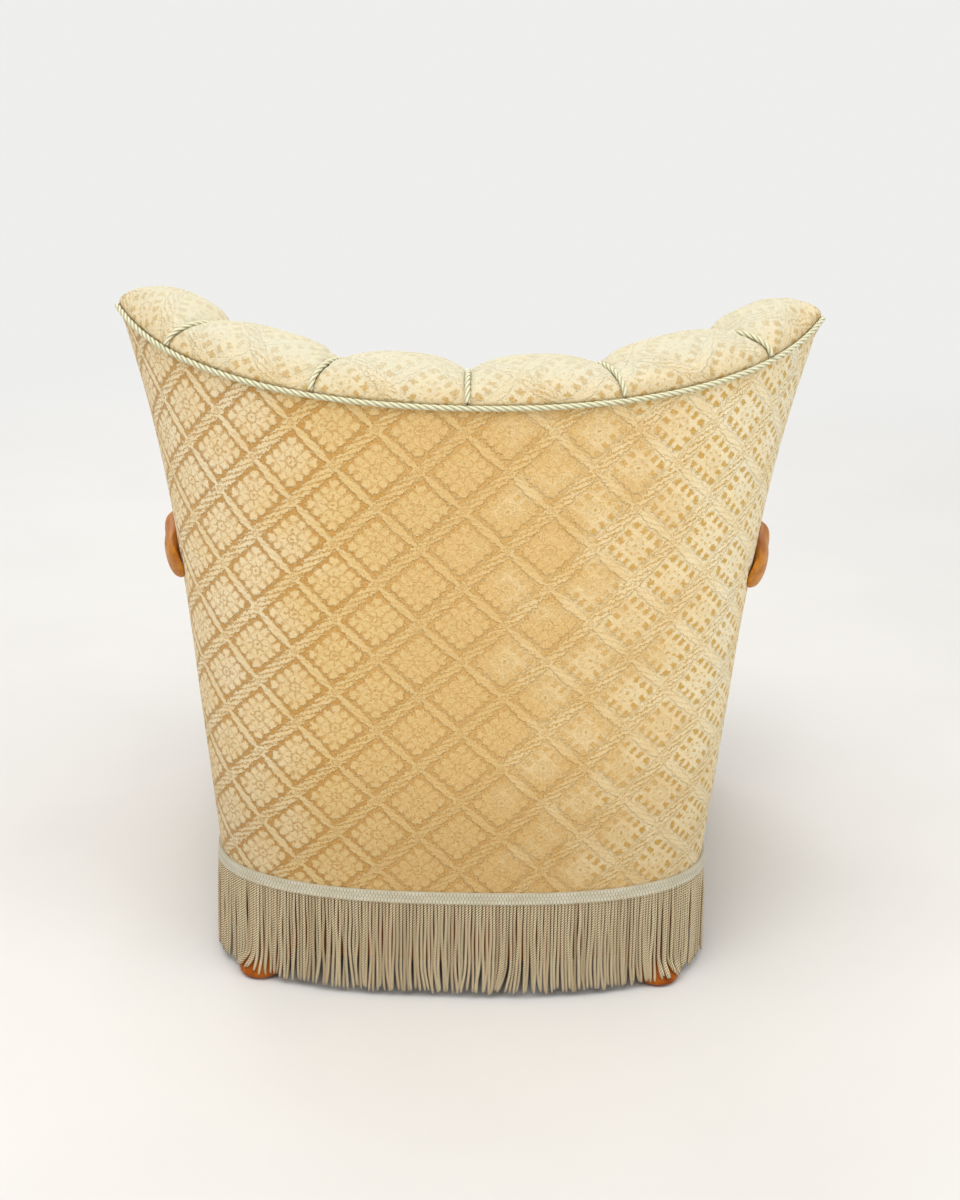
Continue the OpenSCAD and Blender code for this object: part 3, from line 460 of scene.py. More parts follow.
# painted shade: the feet take a darker copy of the stain for where they stand under the chair
shadedFootStain = {"light": (180, 98, 18), "dark": (138, 64, 8), "rough": 0.4, "coat": 0.03}
railStain = {"light": (172, 92, 28), "dark": (124, 60, 14), "rough": 0.42, "coat": 0.1}
bare = {"light": (214, 180, 128), "dark": (172, 132, 84), "rough": 0.62, "coat": 0.0, "scale": 0.8}
stainedArm = makeWood("stainedArm", turn=grainY, **stain)
stainedPost = makeWood("stainedPost", turn=grainZ, **stain)
stainedFootShaded = makeWood("stainedFootShaded", turn=grainZ, **shadedFootStain)
stainedRail = makeWood("stainedRail", turn=grainX, **railStain)
rawWood = makeWood("rawWood", turn=grainZ, **bare)
hessian = makeCloth("hessian", (196, 170, 122), (142, 116, 74), threads=420.0)
jute = makeCloth("jute", (176, 150, 104), (112, 90, 54), threads=330.0, depth=0.0007)
blackCloth = makeCloth("blackCloth", (66, 63, 60), (34, 32, 31), threads=900.0)
springSteel = makeSteel("springSteel", (120, 112, 104), rough=0.42)
glideSteel = makeSteel("glideSteel", (190, 188, 184), rough=0.24)
print("materials made")


# Outline of the shell in millimetres, from the same values as the frame
form = {
    "halfWidth": 294,
    "slope": 0.112,
    "flare": 46,
    "flarePower": 4.2,
    "corner": (150, 300),
    "square": (2.6, 2.05),
    "rear": 348,
    "lean": 56,
    "sideRun": 578,
    "splay": 0.05,
    "hem": 138,
    "topMid": 729,
    "earRise": 62,
    "wingFoot": 10,
    "earY": 196,
    "rim": 335,
}


def sind(a):
    return np.sin(np.radians(a))


def cosd(a):
    return np.cos(np.radians(a))


def steps(a, b, n):
    return np.linspace(a, b, n)


def circle(sides):
    return steps(0, 2 * math.pi, sides + 1)[:-1]


def stacked(*parts):
    return np.stack(np.broadcast_arrays(*parts), -1)


def unit(v, least=0.0):
    return v / np.maximum(np.linalg.norm(v, axis=-1, keepdims=True), least)


def rise(z):
    return np.maximum(0, (z - form["hem"]) / (form["topMid"] + form["earRise"] - form["hem"]))


def halfWidth(z):
    flare = form["flare"] * rise(z) ** form["flarePower"]
    return form["halfWidth"] + form["slope"] * (z - form["hem"]) + flare


def cornerRun(z):
    low, high = form["corner"]
    return low + (high - low) * rise(z) ** 1.5


def squareness(z):
    low, high = form["square"]
    return low + (high - low) * rise(z)


def sideStart(z):
    return form["rear"] + form["lean"] * rise(z) ** 1.2 - cornerRun(z)


def sideX(y, z):
    return halfWidth(z) + (sideStart(z) - y) * form["splay"]


def plan(w, z, inset=0.0):  # w is 0 at the rear middle and 1 where the corner ends
    far, reach = np.abs(w), np.minimum(np.abs(w), 1)
    power, start = 2 / squareness(z), sideStart(z)
    sideY = start - (far - 1) * form["sideRun"]
    cornerX = (halfWidth(z) - inset) * sind(90 * reach) ** power
    cornerY = start + (cornerRun(z) - inset) * np.maximum(cosd(90 * reach), 0) ** power
    x = np.where(far > 1, sideX(sideY, z) - inset, cornerX)
    return stacked(np.sign(w) * x, np.where(far > 1, sideY, cornerY), z)


def edgeY(z):
    up = np.maximum(0, (z - form["rim"]) / (form["topMid"] + form["earRise"] - form["rim"]))
    return form["wingFoot"] + (form["earY"] - form["wingFoot"]) * up**0.8


def edgeW(z):
    ahead = sideStart(z) - edgeY(z)
    share = np.clip(-ahead / cornerRun(z), 0, 1) ** (squareness(z) / 2)
    return np.where(ahead > 0, 1 + ahead / form["sideRun"], np.degrees(np.arccos(share)) / 90)


def topZ(s):
    return form["topMid"] + form["earRise"] * np.abs(s) ** 2


def shell(s, z, inset=0.0):  # s is 0 at the rear middle and 1 at the wing's front edge
    return plan(s * edgeW(z), z, inset)


# Lines and meshes from grids of points
def cumulative(points, axis):
    gaps = np.linalg.norm(np.diff(points, axis=axis), axis=-1)
    zero = np.zeros_like(np.take(gaps, [0], axis=axis))
    return np.cumsum(np.concatenate([zero, gaps], axis=axis), axis=axis)


def pointsAt(line, at):
    run = cumulative(line, 0)
    return np.stack([np.interp(at, run, line[:, i]) for i in range(line.shape[1])], -1)


def evenly(line, count):
    return pointsAt(line, steps(0, cumulative(line, 0)[-1], count))


def eased(points):  # each point drawn half way to its neighbours, the ends kept
    return np.concatenate([points[:1], (points[:-2] + 2 * points[1:-1] + points[2:]) / 4, points[-1:]])


def finishMesh(name, points, faces, corners, material, values=None):
    mesh = bpy.data.meshes.new(name)
    mesh.from_pydata((np.asarray(points).reshape(-1, 3) * mm).tolist(), [], faces)
    mesh.uv_layers.new(name="UVMap").data.foreach_set("uv", np.asarray(corners, np.float32).ravel())
    for label, numbers in (values or {}).items():
        layer = mesh.attributes.new(label, "FLOAT", "POINT")
        layer.data.foreach_set("value", np.asarray(numbers, np.float32).ravel())
    mesh.polygons.foreach_set("use_smooth", [True] * len(mesh.polygons))
    mesh.materials.append(material)
    mesh.validate()
    mesh.update()
    piece = bpy.data.objects.new(name, mesh)
    bpy.context.scene.collection.objects.link(piece)
    return piece


def gridFaces(index, flip=False):
    quads = np.stack([index[:-1, :-1], index[:-1, 1:], index[1:, 1:], index[1:, :-1]], -1).reshape(-1, 4)
    return quads[:, ::-1] if flip else quads


def gridPiece(name, grids, material, around=False, caps=(), flip=False, values=None):
    # a grid that closes on itself has one more column in its uv; caps are the rows that are closed
    points, faces, corners, base = [], [], [], 0
    for grid, uv in grids:
        index = np.arange(grid[..., 0].size).reshape(grid.shape[:2]) + base
        if around:
            index = np.hstack([index, index[:, :1]])
        uvIndex = np.arange(uv[..., 0].size).reshape(uv.shape[:2])
        faces += gridFaces(index, flip).tolist() + [index[row, :-1].tolist() for row in caps]
        corners += [uv.reshape(-1, 2)[gridFaces(uvIndex, flip).ravel()]] + [uv[row, :-1] for row in caps]
        points.append(grid.reshape(-1, 3))
        base += len(points[-1])
    return finishMesh(name, np.concatenate(points), faces, np.concatenate(corners), material, values)


def tubeUv(rows, sides):
    return np.stack(np.meshgrid(steps(0, 1, sides + 1), steps(0, 1, rows)), -1)


def outward(piece):
    shape = bmesh.new()
    shape.from_mesh(piece.data)
    bmesh.ops.recalc_face_normals(shape, faces=shape.faces)
    shape.to_mesh(piece.data)
    shape.free()


def settle(piece, slot, *replaced):
    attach(piece, "root")
    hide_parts(*replaced)


def awayFrom(points, y):  # level, away from an upright line through the middle
    return unit((points - [0, y, 0]) * [1, 1, 0])


def softNoise(u, v, seed, waves=7, low=1.0, high=3.0):
    pick = np.random.default_rng(seed)
    total = 0
    for _ in range(waves):
        angle, size = pick.uniform(0, 2 * math.pi), pick.uniform(low, high)
        total = total + np.sin(size * (u * math.cos(angle) + v * math.sin(angle)) + pick.uniform(0, 6.3))
    return total / waves


# The repeat of the velvet: one diamond is this wide and this high
repeat = {"width": 94.5, "height": 89.4}


def latticeUv(across, up):
    a, h = across / repeat["width"], up / repeat["height"]
    return np.stack([a + h, h - a], -1)


# Outer cover of the back, pulled flat and smooth over the frame
cover = {
    "columns": 200,
    "rows": 90,
    "low": 130,
    "figureAt": (-2.0, 16.7),
    "waver": 0.7,
    "middleY": 60,
    # table of lengths round the shell: rows, height of the last, columns, and w at the last
    "table": (120, 800, 500, 1.7),
    # the lay across the back sets its painted sheen, from one side to the other
    "lay": ([-560, -380, -240, -110, 60, 200, 330, 520], [0.0, 0.05, 0.12, 0.40, 0.62, 0.72, 0.9, 1.0]),
    # painted shade: the back darker towards the bottom
    "paintedShade": ([140, 210, 330, 520], [0.40, 0.34, 0.14, 0.04]),
}


def makeCover():
    s, share = steps(-1, 1, cover["columns"]), steps(0, 1, cover["rows"])[:, None]
    z = cover["low"] + (topZ(s) - cover["low"]) * share
    points, w = shell(s, z), s * edgeW(z)

    # lengths along the cloth, from a table of level lines and from the line up the middle
    rows, top, columns, end = cover["table"]
    heights, wTable = steps(cover["low"], top, rows), steps(0, end, columns)
    levels = cumulative(plan(wTable[:, None], heights), 0).T
    reach = np.array([np.interp(np.abs(w), wTable, level) for level in levels])
    k = np.clip(np.searchsorted(heights, z) - 1, 0, len(heights) - 2)
    t = (z - heights[k]) / (heights[k + 1] - heights[k])
    low, high = (np.take_along_axis(reach, (k + i)[None], 0)[0] for i in (0, 1))
    across = np.sign(w) * (low + (high - low) * t)
    spine = cumulative(plan(0, heights), 0)
    up = np.interp(z, heights, spine - np.interp(form["hem"], heights, spine))

    uv = latticeUv(across + cover["figureAt"][0], up + cover["figureAt"][1])
    waver = cover["waver"] * np.sin(math.pi * share) * softNoise(across / 60, z / 60, 5)
    points = points + awayFrom(points, cover["middleY"]) * waver[..., None]
    values = {"lay": np.interp(-across, *cover["lay"]), "paintedShade": np.interp(z, *cover["paintedShade"])}
    piece = gridPiece("outerCover", [(points, uv)], velvetBack, flip=True, values=values)
    settle(piece, "velvet", "outer_back_cover")
    return piece, (float(np.ptp(across, axis=1).max()) * mm, float(np.ptp(up)) * mm)


outerCover, coverFlat = makeCover()
print("outer cover made", [round(v, 3) for v in coverFlat])


# Stuffed channels of the back. The lay, the painted sheen and the painted shade go by the way down from the
# top edge.
channels = {
    "seams": (0, 0.30, 0.71, 1),
    "roll": 37,
    "earSoft": 0.52,
    "dip": 14,
    "depth": 26,
    "sewnPower": 2.6,
    "rollPower": 0.85,
    "topThick": 108,
    "lumbarThick": 186,
    "lumbarZ": 470,
    "wingThick": 86,
    "wingThin": (0.95, 2.2),
    "nose": 22,
    "noseTurn": 150,
    "noseForward": 4.5,
    "rollTurn": 172,
    "swell": 3.5,
    "foot": 333,
    "coreInset": 50.2,
    "coreStart": 8,
    "coreLift": 5,
    "noseInset": (2.8, 1.5),
    "seamLift": 0.3,
    "seamGap": 0.0004,
    "columns": 34,
    "rollRows": 24,
    "faceRows": 34,
    "noseColumns": 12,
    "evenShare": 0.55,
    "figureStep": (30, 20),
    # the lay sets painted sheen: the roll tops turn the figure dark on light
    "lay": ([0, 40, 110, 260, 420], [0.80, 0.90, 0.92, 0.35, 0.2]),
    # painted sheen: a pale tone over the roll tops, most a little below the top edge
    "paintedSheen": ([0, 18, 50, 120, 200, 420], [0.04, 0.24, 0.68, 0.5, 0.22, 0.08]),
    # painted shade: darker on the roll tops, less down the face
    "paintedShade": ([0, 70, 180, 300], [0.40, 0.42, 0.20, 0.06]),
}
puff = {"frames": 18, "pressure": 5.0, "slack": 0.035, "cap": 6.0, "bend": 0.6}
pulls = {
    "depth": 2.2,
    "reach": 26,
    "start": 16,
    "size": (7, 40),
    "over": 0.2,
    "broad": 1.2,
    "broadSize": (70, 60),
    "broadStart": 20,
    "fromCord": 12,
    "pastWing": 200,
}


def thickAt(z, s):
    drop = np.clip((topZ(s) - z) / (topZ(s) - channels["lumbarZ"]), 0, 1)
    return channels["topThick"] + (channels["lumbarThick"] - channels["topThick"]) * sind(90 * drop)


def inner(s, z, t):  # t is 0 at the shell and 1 at the face of the stuffing
    p = shell(s, z)
    u = np.minimum(1, np.abs(s))
    x = p[..., 0] - np.sign(s) * t * channels["wingThick"] * sind(90 * u) ** 0.8
    thin, power = channels["wingThin"]
    return stacked(x, p[..., 1] - t * thickAt(z, s) * (1 - thin * u**power), p[..., 2])


def depthShare(full, z, s):
    return 1 - (1 - full) * channels["depth"] / thickAt(z, s)


def fullness(q, k):  # 0 at a seam and 1 between two, and at the wing's front edge
    full = 1 - np.abs(2 * q - 1) ** channels["sewnPower"]
    return np.where(q > 0.5, 1.0, full) if k == 2 else full


def rollPoint(s, angle, full, turn=0.0):
    z, fade, share = topZ(s), cosd(turn / 2), (1 - cosd(angle)) / 2
    p = inner(s, z, depthShare(full, z, s) * share * fade * fade)
    crest = channels["roll"] * (1 - channels["earSoft"] * np.abs(s) ** 5)
    bulge = np.maximum(sind(angle), 0) ** channels["rollPower"]
    lift = (crest - channels["dip"] * (1 - full)) * bulge * fade
    forward = share * channels["nose"] * sind(turn)
    forward = forward + (1 - share) * channels["noseForward"] * turn / channels["noseTurn"]
    y = p[..., 1] - forward + channels["swell"] * full * fade * np.maximum(0, sind(2 * angle))
    return stacked(p[..., 0], y, z + channels["seamLift"] + lift)


def facePoint(s, row, full, turn=0.0):
    z = topZ(s) - row * (topZ(s) - channels["foot"])
    p = inner(s, z, depthShare(full, z, s) * cosd(turn / 2) ** 2)
    y = p[..., 1] - channels["nose"] * sind(turn)
    return stacked(p[..., 0], y, z + channels["seamLift"] * (1 - row))


def corePoint(s, share, row, angle, turn):  # the hidden side of a channel, against the frame
    turned, (least, more) = turn / channels["noseTurn"], channels["noseInset"]
    start = channels["coreStart"] + (channels["coreInset"] - channels["coreStart"]) * share
    z = topZ(s) - row * (topZ(s) - channels["foot"])
    lift = channels["seamLift"] * (1 - row) + channels["coreLift"] * sind(angle) * cosd(turn / 2)
    return shell(s, z, start + (least + more * share - start) * turned) + stacked(0, -3 * turned, lift)


def pillow(name, front, back, uv, values, material):
    index = np.arange(front[..., 0].size).reshape(front.shape[:2])
    hidden = index + index.size
    rim, rimBack = (
        np.concatenate([i[0, :], i[1:, -1], i[-1, -2::-1], i[-2::-1, 0]]) for i in (index, hidden)
    )
    sides = np.stack([rim[:-1], rimBack[:-1], rimBack[1:], rim[1:]], -1)
    faces = np.concatenate([gridFaces(index), gridFaces(hidden, True), sides])
    corners = np.concatenate([uv.reshape(-1, 2)] * 2)[faces.ravel()]
    piece = finishMesh(name, np.stack([front, back]), faces.tolist(), corners, material, values)
    outward(piece)
    return piece


def inflate(piece, held, pressure, slack, cap):  # held is 1 where the cover is sewn or hidden
    scene = bpy.context.scene
    rest = np.zeros(len(piece.data.vertices) * 3, np.float32)
    piece.data.vertices.foreach_get("co", rest)
    group = piece.vertex_groups.new(name="sewn")
    group.add(np.flatnonzero(held).tolist(), 1.0, "REPLACE")
    cloth = piece.modifiers.new("cloth", "CLOTH")
    settings = {
        "quality": 6,
        "mass": 0.25,
        "use_pressure": True,
        "uniform_pressure_force": pressure,
        "vertex_group_mass": "sewn",
        "shrink_min": -slack,
        "tension_stiffness": 25,
        "compression_stiffness": 25,
        "shear_stiffness": 12,
        "bending_stiffness": puff["bend"],
    }
    for name, value in settings.items():
        setattr(cloth.settings, name, value)
    cloth.settings.effector_weights.gravity = 0
    cloth.collision_settings.use_collision = False
    cloth.point_cache.frame_start = 1
    cloth.point_cache.frame_end = puff["frames"]
    for step in range(1, puff["frames"] + 1):
        scene.frame_set(step)
    shown = piece.evaluated_get(bpy.context.evaluated_depsgraph_get())
    moved = np.zeros_like(rest)
    shown.data.vertices.foreach_get("co", moved)
    piece.modifiers.remove(cloth)
    piece.vertex_groups.clear()
    shift = (moved - rest).reshape(-1, 3)
    far = np.linalg.norm(shift, axis=1, keepdims=True)
    shift *= np.minimum(1, cap * mm / np.maximum(far, 1e-9))
    piece.data.vertices.foreach_set("co", (rest.reshape(-1, 3) + shift).ravel())
    piece.data.update()
    scene.frame_set(1)
    most = float(np.linalg.norm(shift, axis=1).max()) / mm
    print(piece.name, "filled, moved up to", round(most, 1), "mm")


def makeChannel(number, k, side):
    low, high = channels["seams"][k] + channels["seamGap"], channels["seams"][k + 1]
    if k < 2:
        high -= channels["seamGap"]
    t = steps(0, 1, channels["columns"])
    even = channels["evenShare"]
    q = even * t + (1 - even) * (1 - np.cos(math.pi * t)) / 2  # finer at both ends
    s, full, turn = low + q * (high - low), fullness(q, k), 0 * q
    if k == 2:  # the wing's channel goes on round its front edge
        turns = steps(0, channels["noseTurn"], channels["noseColumns"] + 1)[1:]
        s, full = (np.concatenate([v, 1 + 0 * turns]) for v in (s, full))
        turn = np.concatenate([turn, turns])
    angle = steps(0, channels["rollTurn"], channels["rollRows"])[:, None]
    row = steps(0, 1, channels["faceRows"])[:, None]
    front = np.concatenate([rollPoint(s, angle, full, turn), facePoint(s, row, full, turn)])
    core = corePoint(s, (1 - cosd(angle)) / 2, 0, angle, turn), corePoint(s, 1, row, 0, turn)
    back = np.concatenate(core)

    # small pulls in the cover along the seams, and a broad unevenness between them
    reach = cumulative(front, 1)[len(angle) // 2]
    along = cumulative(front, 0)[:, len(q) // 2]
    gap = np.minimum(reach, reach[-1] - reach + (pulls["pastWing"] if k == 2 else 0))
    pull = np.exp(-gap / pulls["reach"]) * np.minimum(1, gap / pulls["start"])
    down, over = pulls["size"]
    wave = softNoise(along[:, None] / down, reach / over, 20 + number, 9, 0.6, 1.5)
    down, over = pulls["broadSize"]
    broad = softNoise(along[:, None] / down, reach / over, 40 + number, 6, 0.8, 2.0)
    broad = pulls["broad"] * broad * np.minimum(1, gap / pulls["broadStart"])
    away = unit(front - (front + back) / 2, 1)
    shift = pulls["depth"] * pull * (wave + pulls["over"]) + broad
    front = front + away * shift[..., None] * np.minimum(1, along / pulls["fromCord"])[:, None, None]

    spread = cumulative(front, 1)
    spread = spread - (0 if k == 2 else 0.5) * spread[:, -1:]
    over, up = channels["figureStep"]
    uv = latticeUv(side * (spread + over * number), up * number - cumulative(front, 0))
    if side < 0:
        front, back = front * [-1, 1, 1], back * [-1, 1, 1]
    names = ("lay", "paintedSheen", "paintedShade")
    values = {n: np.tile(np.repeat(np.interp(along, *channels[n]), len(s)), 2) for n in names}
    piece = pillow("channelCover" + str(number), front, back, uv, values, velvetChannel)
    held = np.ones((2,) + front.shape[:2])
    held[0, 2:-2, 2:-2] = 0
    inflate(piece, held.ravel(), puff["pressure"], puff["slack"], puff["cap"])
    settle(piece, "velvet_channels", "channel_" + str(number))


for number, k, side in ((1, 2, 1), (2, 1, 1), (3, 0, 1), (4, 0, -1), (5, 1, -1), (6, 2, -1)):
    makeChannel(number, k, side)
print("channels made")


# Twisted cords: the top cord follows the edge, goes round the ear tip, down the front of the wing out of
# sight from behind, and forward to the seat cord
cords = {
    "radius": 3.0,
    "seamRadius": 2.75,
    "lay": 27.0,
    "plies": 3,
    "sides": 15,
    "step": 1.7,
    "relaxed": 6,
    "lobe": (0.70, 0.34, 0.8),
    "clear": 0.4,
    "sunk": 2.2,
    "seams": (-0.71, -0.30, 0.0, 0.30, 0.71),
    "seamFrom": 6,
    "seamTo": 0.97,
    "seated": 1.5,
    "seatInset": 2.7,
    "seatLift": 0.3,
    "earZ": [335.5, 336.5, 340, 345, 762, 788],
    "earAhead": [11, 8.5, 4.5, 3, 3, 1],
    "earInset": ([762, 788], [3.4, -1.5]),
}


def ropeGrid(path, radius):
    run = steps(0, cumulative(path, 0)[-1], max(4, int(cumulative(path, 0)[-1] / cords["step"]) + 1))
    path = pointsAt(path, run)
    for _ in range(cords["relaxed"]):
        path = eased(path)
    tangent = unit(np.gradient(path, axis=0))
    frames, normal = [], np.cross(tangent[0], [0.31, 0.52, 0.79])
    for t in tangent:  # carry the frame along without a twist of its own
        normal = unit(normal - t * np.dot(normal, t))
        frames.append(normal)
    first, angle = np.array(frames), circle(cords["sides"])
    second = np.cross(tangent, first)
    valley, lobe, power = cords["lobe"]
    lobes = radius * (valley + lobe * np.abs(np.cos(cords["plies"] * angle / 2)) ** power)
    spin = (angle + 2 * math.pi * run[:, None] / cords["lay"])[..., None]
    ring = np.cos(spin) * first[:, None] + np.sin(spin) * second[:, None]
    uv = stacked(run[:, None] / cords["lay"], steps(0, 1, cords["sides"] + 1))
    return path[:, None] + ring * lobes[:, None], uv


def ropePiece(name, paths, radius, replaced):
    piece = gridPiece(name, [ropeGrid(path, radius) for path in paths], cordMaterial, True, (0, -1))
    outward(piece)
    settle(piece, "cord", replaced)
    print(name, "lengths in metres:", [round(float(cumulative(path, 0)[-1]) * mm, 3) for path in paths])


def topCordPath():
    z = np.concatenate([steps(788, 345, 64), cords["earZ"][2::-1]])
    edge = shell(1, z, np.interp(z, *cords["earInset"]))
    edge[:, 1] -= np.interp(z, cords["earZ"], cords["earAhead"])
    s = steps(-1, 1, 160)
    ridge = shell(s, topZ(s), -cords["radius"] - cords["clear"])
    ridge = ridge - [0, 0, cords["radius"] - cords["sunk"]]
    return np.concatenate([edge[::-1] * [-1, 1, 1], ridge, edge])


def seamCordPath(s):
    seated = cords["seated"] * cords["seamRadius"]
    top = rollPoint(s, steps(cords["seamFrom"], channels["rollTurn"], 24), 0.0)
    away = top - inner(s, topZ(s), 0.4) + [0, 0, 10]
    face = facePoint(s, steps(0, cords["seamTo"], 40), 0.0)
    deep = inner(s, face[:, 2], 1.0) - face
    deep[:, 2] = 8
    return np.concatenate([top + seated * unit(away), face + seated * unit(deep)])


ropePiece("topCord", [topCordPath()], cords["radius"], "top_cord")
ropePiece("seamCords", [seamCordPath(s) for s in cords["seams"]], cords["seamRadius"], "channel_cords")
print("cords made")


# Seat: base outline, cushion, border and cord
seat = {
    "front": -388,
    "bow": 12,
    "cornerRadius": 60,
    "crown": 64,
    "canvas": 290,
    "borderInset": 6.0,
    "middle": (0, -100),
    "tuck": 0.62,
    "tuckRun": 60,
    "edge": 10,
    # rings from the underside up: size, and height over the canvas or from the rim
    "canvasRings": [(0.97, 2.2), (1, 12)],
    "rimRings": [(1, -6), (1, 5)],
    "topRings": 21,
    "gather": (0.93, 1.6),
    "rounding": 5,
    "figureDrop": 0.6,
    "crossSection": ([0.0, 0.45, 0.72, 0.87, 0.95, 0.985, 1.0], [1.0, 0.99, 0.95, 0.82, 0.58, 0.3, 0.0]),
    "pressure": 2.0,
    "slack": 0.02,
    "cap": 8.0,
    # the cushion's lay, which sets its painted sheen
    "lay": 0.30,
    "borderLow": 130,
    # the border's lay, which sets its painted sheen, runs on from the cover's at both ends
    "borderLay": ([-700, -400, 0, 400, 700], [0.0, 0.08, 0.36, 0.88, 1.0]),
    "borderWaver": 0.7,
    "middleY": -60,
    "baseMiddle": (0, -30, 0),
}


def frontHalf(startY, z, inset, fine=1):
    cornerY = seat["front"] + seat["cornerRadius"]
    cornerX = sideX(cornerY, z) - seat["cornerRadius"]
    y = steps(startY, cornerY, 24 * fine)
    a = steps(0, 90, 12 * fine)[1:]
    radius = seat["cornerRadius"] - inset
    k = steps(1, 0, 20 * fine)[1:]
    side = stacked(sideX(y, z) - inset, y)
    corner = stacked(cornerX + radius * cosd(a), cornerY - radius * sind(a))
    front = stacked(cornerX * k, seat["front"] + inset - seat["bow"] * (1 - k * k))
    return np.concatenate([side, corner, front])


def raised(line, z):
    return stacked(line[:, 0], line[:, 1], float(z))


def closed(half):
    return np.concatenate([half, half[-2:0:-1] * [-1, 1]])


def borderLine(z, inset, ahead=0.3):
    half = frontHalf(edgeY(z) - ahead, z, inset)
    return raised(np.concatenate([half, half[-2::-1] * [-1, 1]]), z)


def baseLoop(z, inset, fine=3):
    rear = plan(steps(0, 1, 60 * fine)[:-1], z, inset)[:, :2]
    return raised(closed(np.concatenate([rear, frontHalf(sideStart(z), z, inset, fine)])), z)


def seatLine(z):  # where the cushion meets the channels at this height, then its free outline
    parts, q = [], steps(0, 1, 13)[:-1]
    for k in range(3):
        low, high = channels["seams"][k : k + 2]
        s = low + q * (high - low)
        parts.append(inner(s, z, depthShare(fullness(q, k), z, s) + 1 / channels["lumbarThick"])[:, :2])
    a = steps(0, 118, 12)
    p = inner(1, form["rim"], cosd(a / 2) ** 2)
    nose = stacked(p[:, 0] - cosd(a), p[:, 1] - (channels["nose"] + 1) * sind(a))  # 1 mm clear of the wing
    startY = nose[-1, 1] + 0.5
    free = frontHalf(startY, form["rim"], seat["borderInset"])[1:]
    return closed(np.concatenate(parts + [nose, free])), startY


def makeCushion():
    rim, canvas, middle = form["rim"], seat["canvas"], np.array(seat["middle"])
    line, startY = seatLine(rim)
    tuck = np.clip((line[:, 1] - startY) / seat["tuckRun"], 0, 1)
    puffed = seat["crown"] - seat["edge"]
    levels = [(scale, canvas + up) for scale, up in seat["canvasRings"]]
    levels += [(scale, rim + up) for scale, up in seat["rimRings"]]
    drawn, power = seat["gather"]
    for t in steps(0, 1, seat["topRings"] + 1)[1:]:
        levels.append((1 - drawn * t**power, rim + seat["edge"]))
    rings = []
    for i, (scale, z) in enumerate(levels):
        crowned = 0 if i < 3 else 1  # the sides rise straight, and the rings over the rim are crowned
        up = crowned * np.interp(scale, *seat["crossSection"])
        tucked, _ = seatLine(max(rim, z + crowned * max(up, seat["tuck"]) * puffed))
        narrow = 1 - max(0, rim - z) * form["slope"] / form["halfWidth"]
        q = middle + scale * ((line + tuck[:, None] * (tucked - line) - middle) * [narrow, 1])
        lift = crowned * np.maximum(up, seat["tuck"] * tuck) * puffed
        rings.append(stacked(q[:, 0], q[:, 1], z + lift))
    for i in range(5, len(rings)):  # the outline's inner corners fade out towards the middle
        for _ in range(seat["rounding"] * (i - 4)):
            rings[i] = (np.roll(rings[i], 1, 0) + 2 * rings[i] + np.roll(rings[i], -1, 0)) / 4
    points = np.array(rings)
    count, n = points.shape[:2]
    index = np.arange(count * n).reshape(count, n)
    index = np.hstack([index, index[:, :1]])
    faces = gridFaces(index).tolist()
    faces += [[a, b, count * n] for a, b in zip(index[-1].tolist(), index[-1, 1:].tolist())]
    faces += [[b, a, count * n + 1] for a, b in zip(index[0].tolist(), index[0, 1:].tolist())]
    ends = [[*middle, rim + seat["crown"]], [*middle, levels[0][1]]]
    points = np.concatenate([points.reshape(-1, 3), ends])
    uv = latticeUv(points[:, 0], -points[:, 1] + seat["figureDrop"] * (rim - points[:, 2]))
    corners = uv[np.concatenate(faces)]
    lay = {"lay": np.full(len(points), seat["lay"])}
    piece = finishMesh("seatCushion", points, faces, corners, velvetChannel, lay)
    outward(piece)
    held = np.zeros(len(points))
    held[: 4 * n] = held[-1] = 1  # the rings up to the rim, and the middle of the underside
    inflate(piece, held, seat["pressure"], seat["slack"], seat["cap"])
    settle(piece, "velvet_channels", "seat_cushion")


def makeBorder():
    heights = steps(seat["borderLow"], form["rim"] - 3, 40)[:, None]
    points = np.array([borderLine(z, 0) for z in heights[:, 0]])
    run = cumulative(points, 1)
    across = run - run[:, -1:] / 2
    uv = latticeUv(across, heights - form["hem"] + 0 * across)
    held = np.sin(math.pi * steps(0, 1, len(heights)))[:, None]
    waver = seat["borderWaver"] * softNoise(across / 50, heights / 40, 3) * held
    points = points + awayFrom(points, seat["middleY"]) * waver[..., None]
    lay = {"lay": np.interp(across, *seat["borderLay"])}
    piece = gridPiece("seatBorder", [(points, uv)], velvetBack, values=lay)
    settle(piece, "velvet", "seat_border")


makeCushion()
makeBorder()
seatCordPath = borderLine(form["rim"], cords["seatInset"], channels["nose"] / 2 + 1)
seatCordPath = seatCordPath + [0, 0, cords["seatLift"]]
ropePiece("seatCord", [seatCordPath], cords["radius"], "seat_cord")
print("seat made")


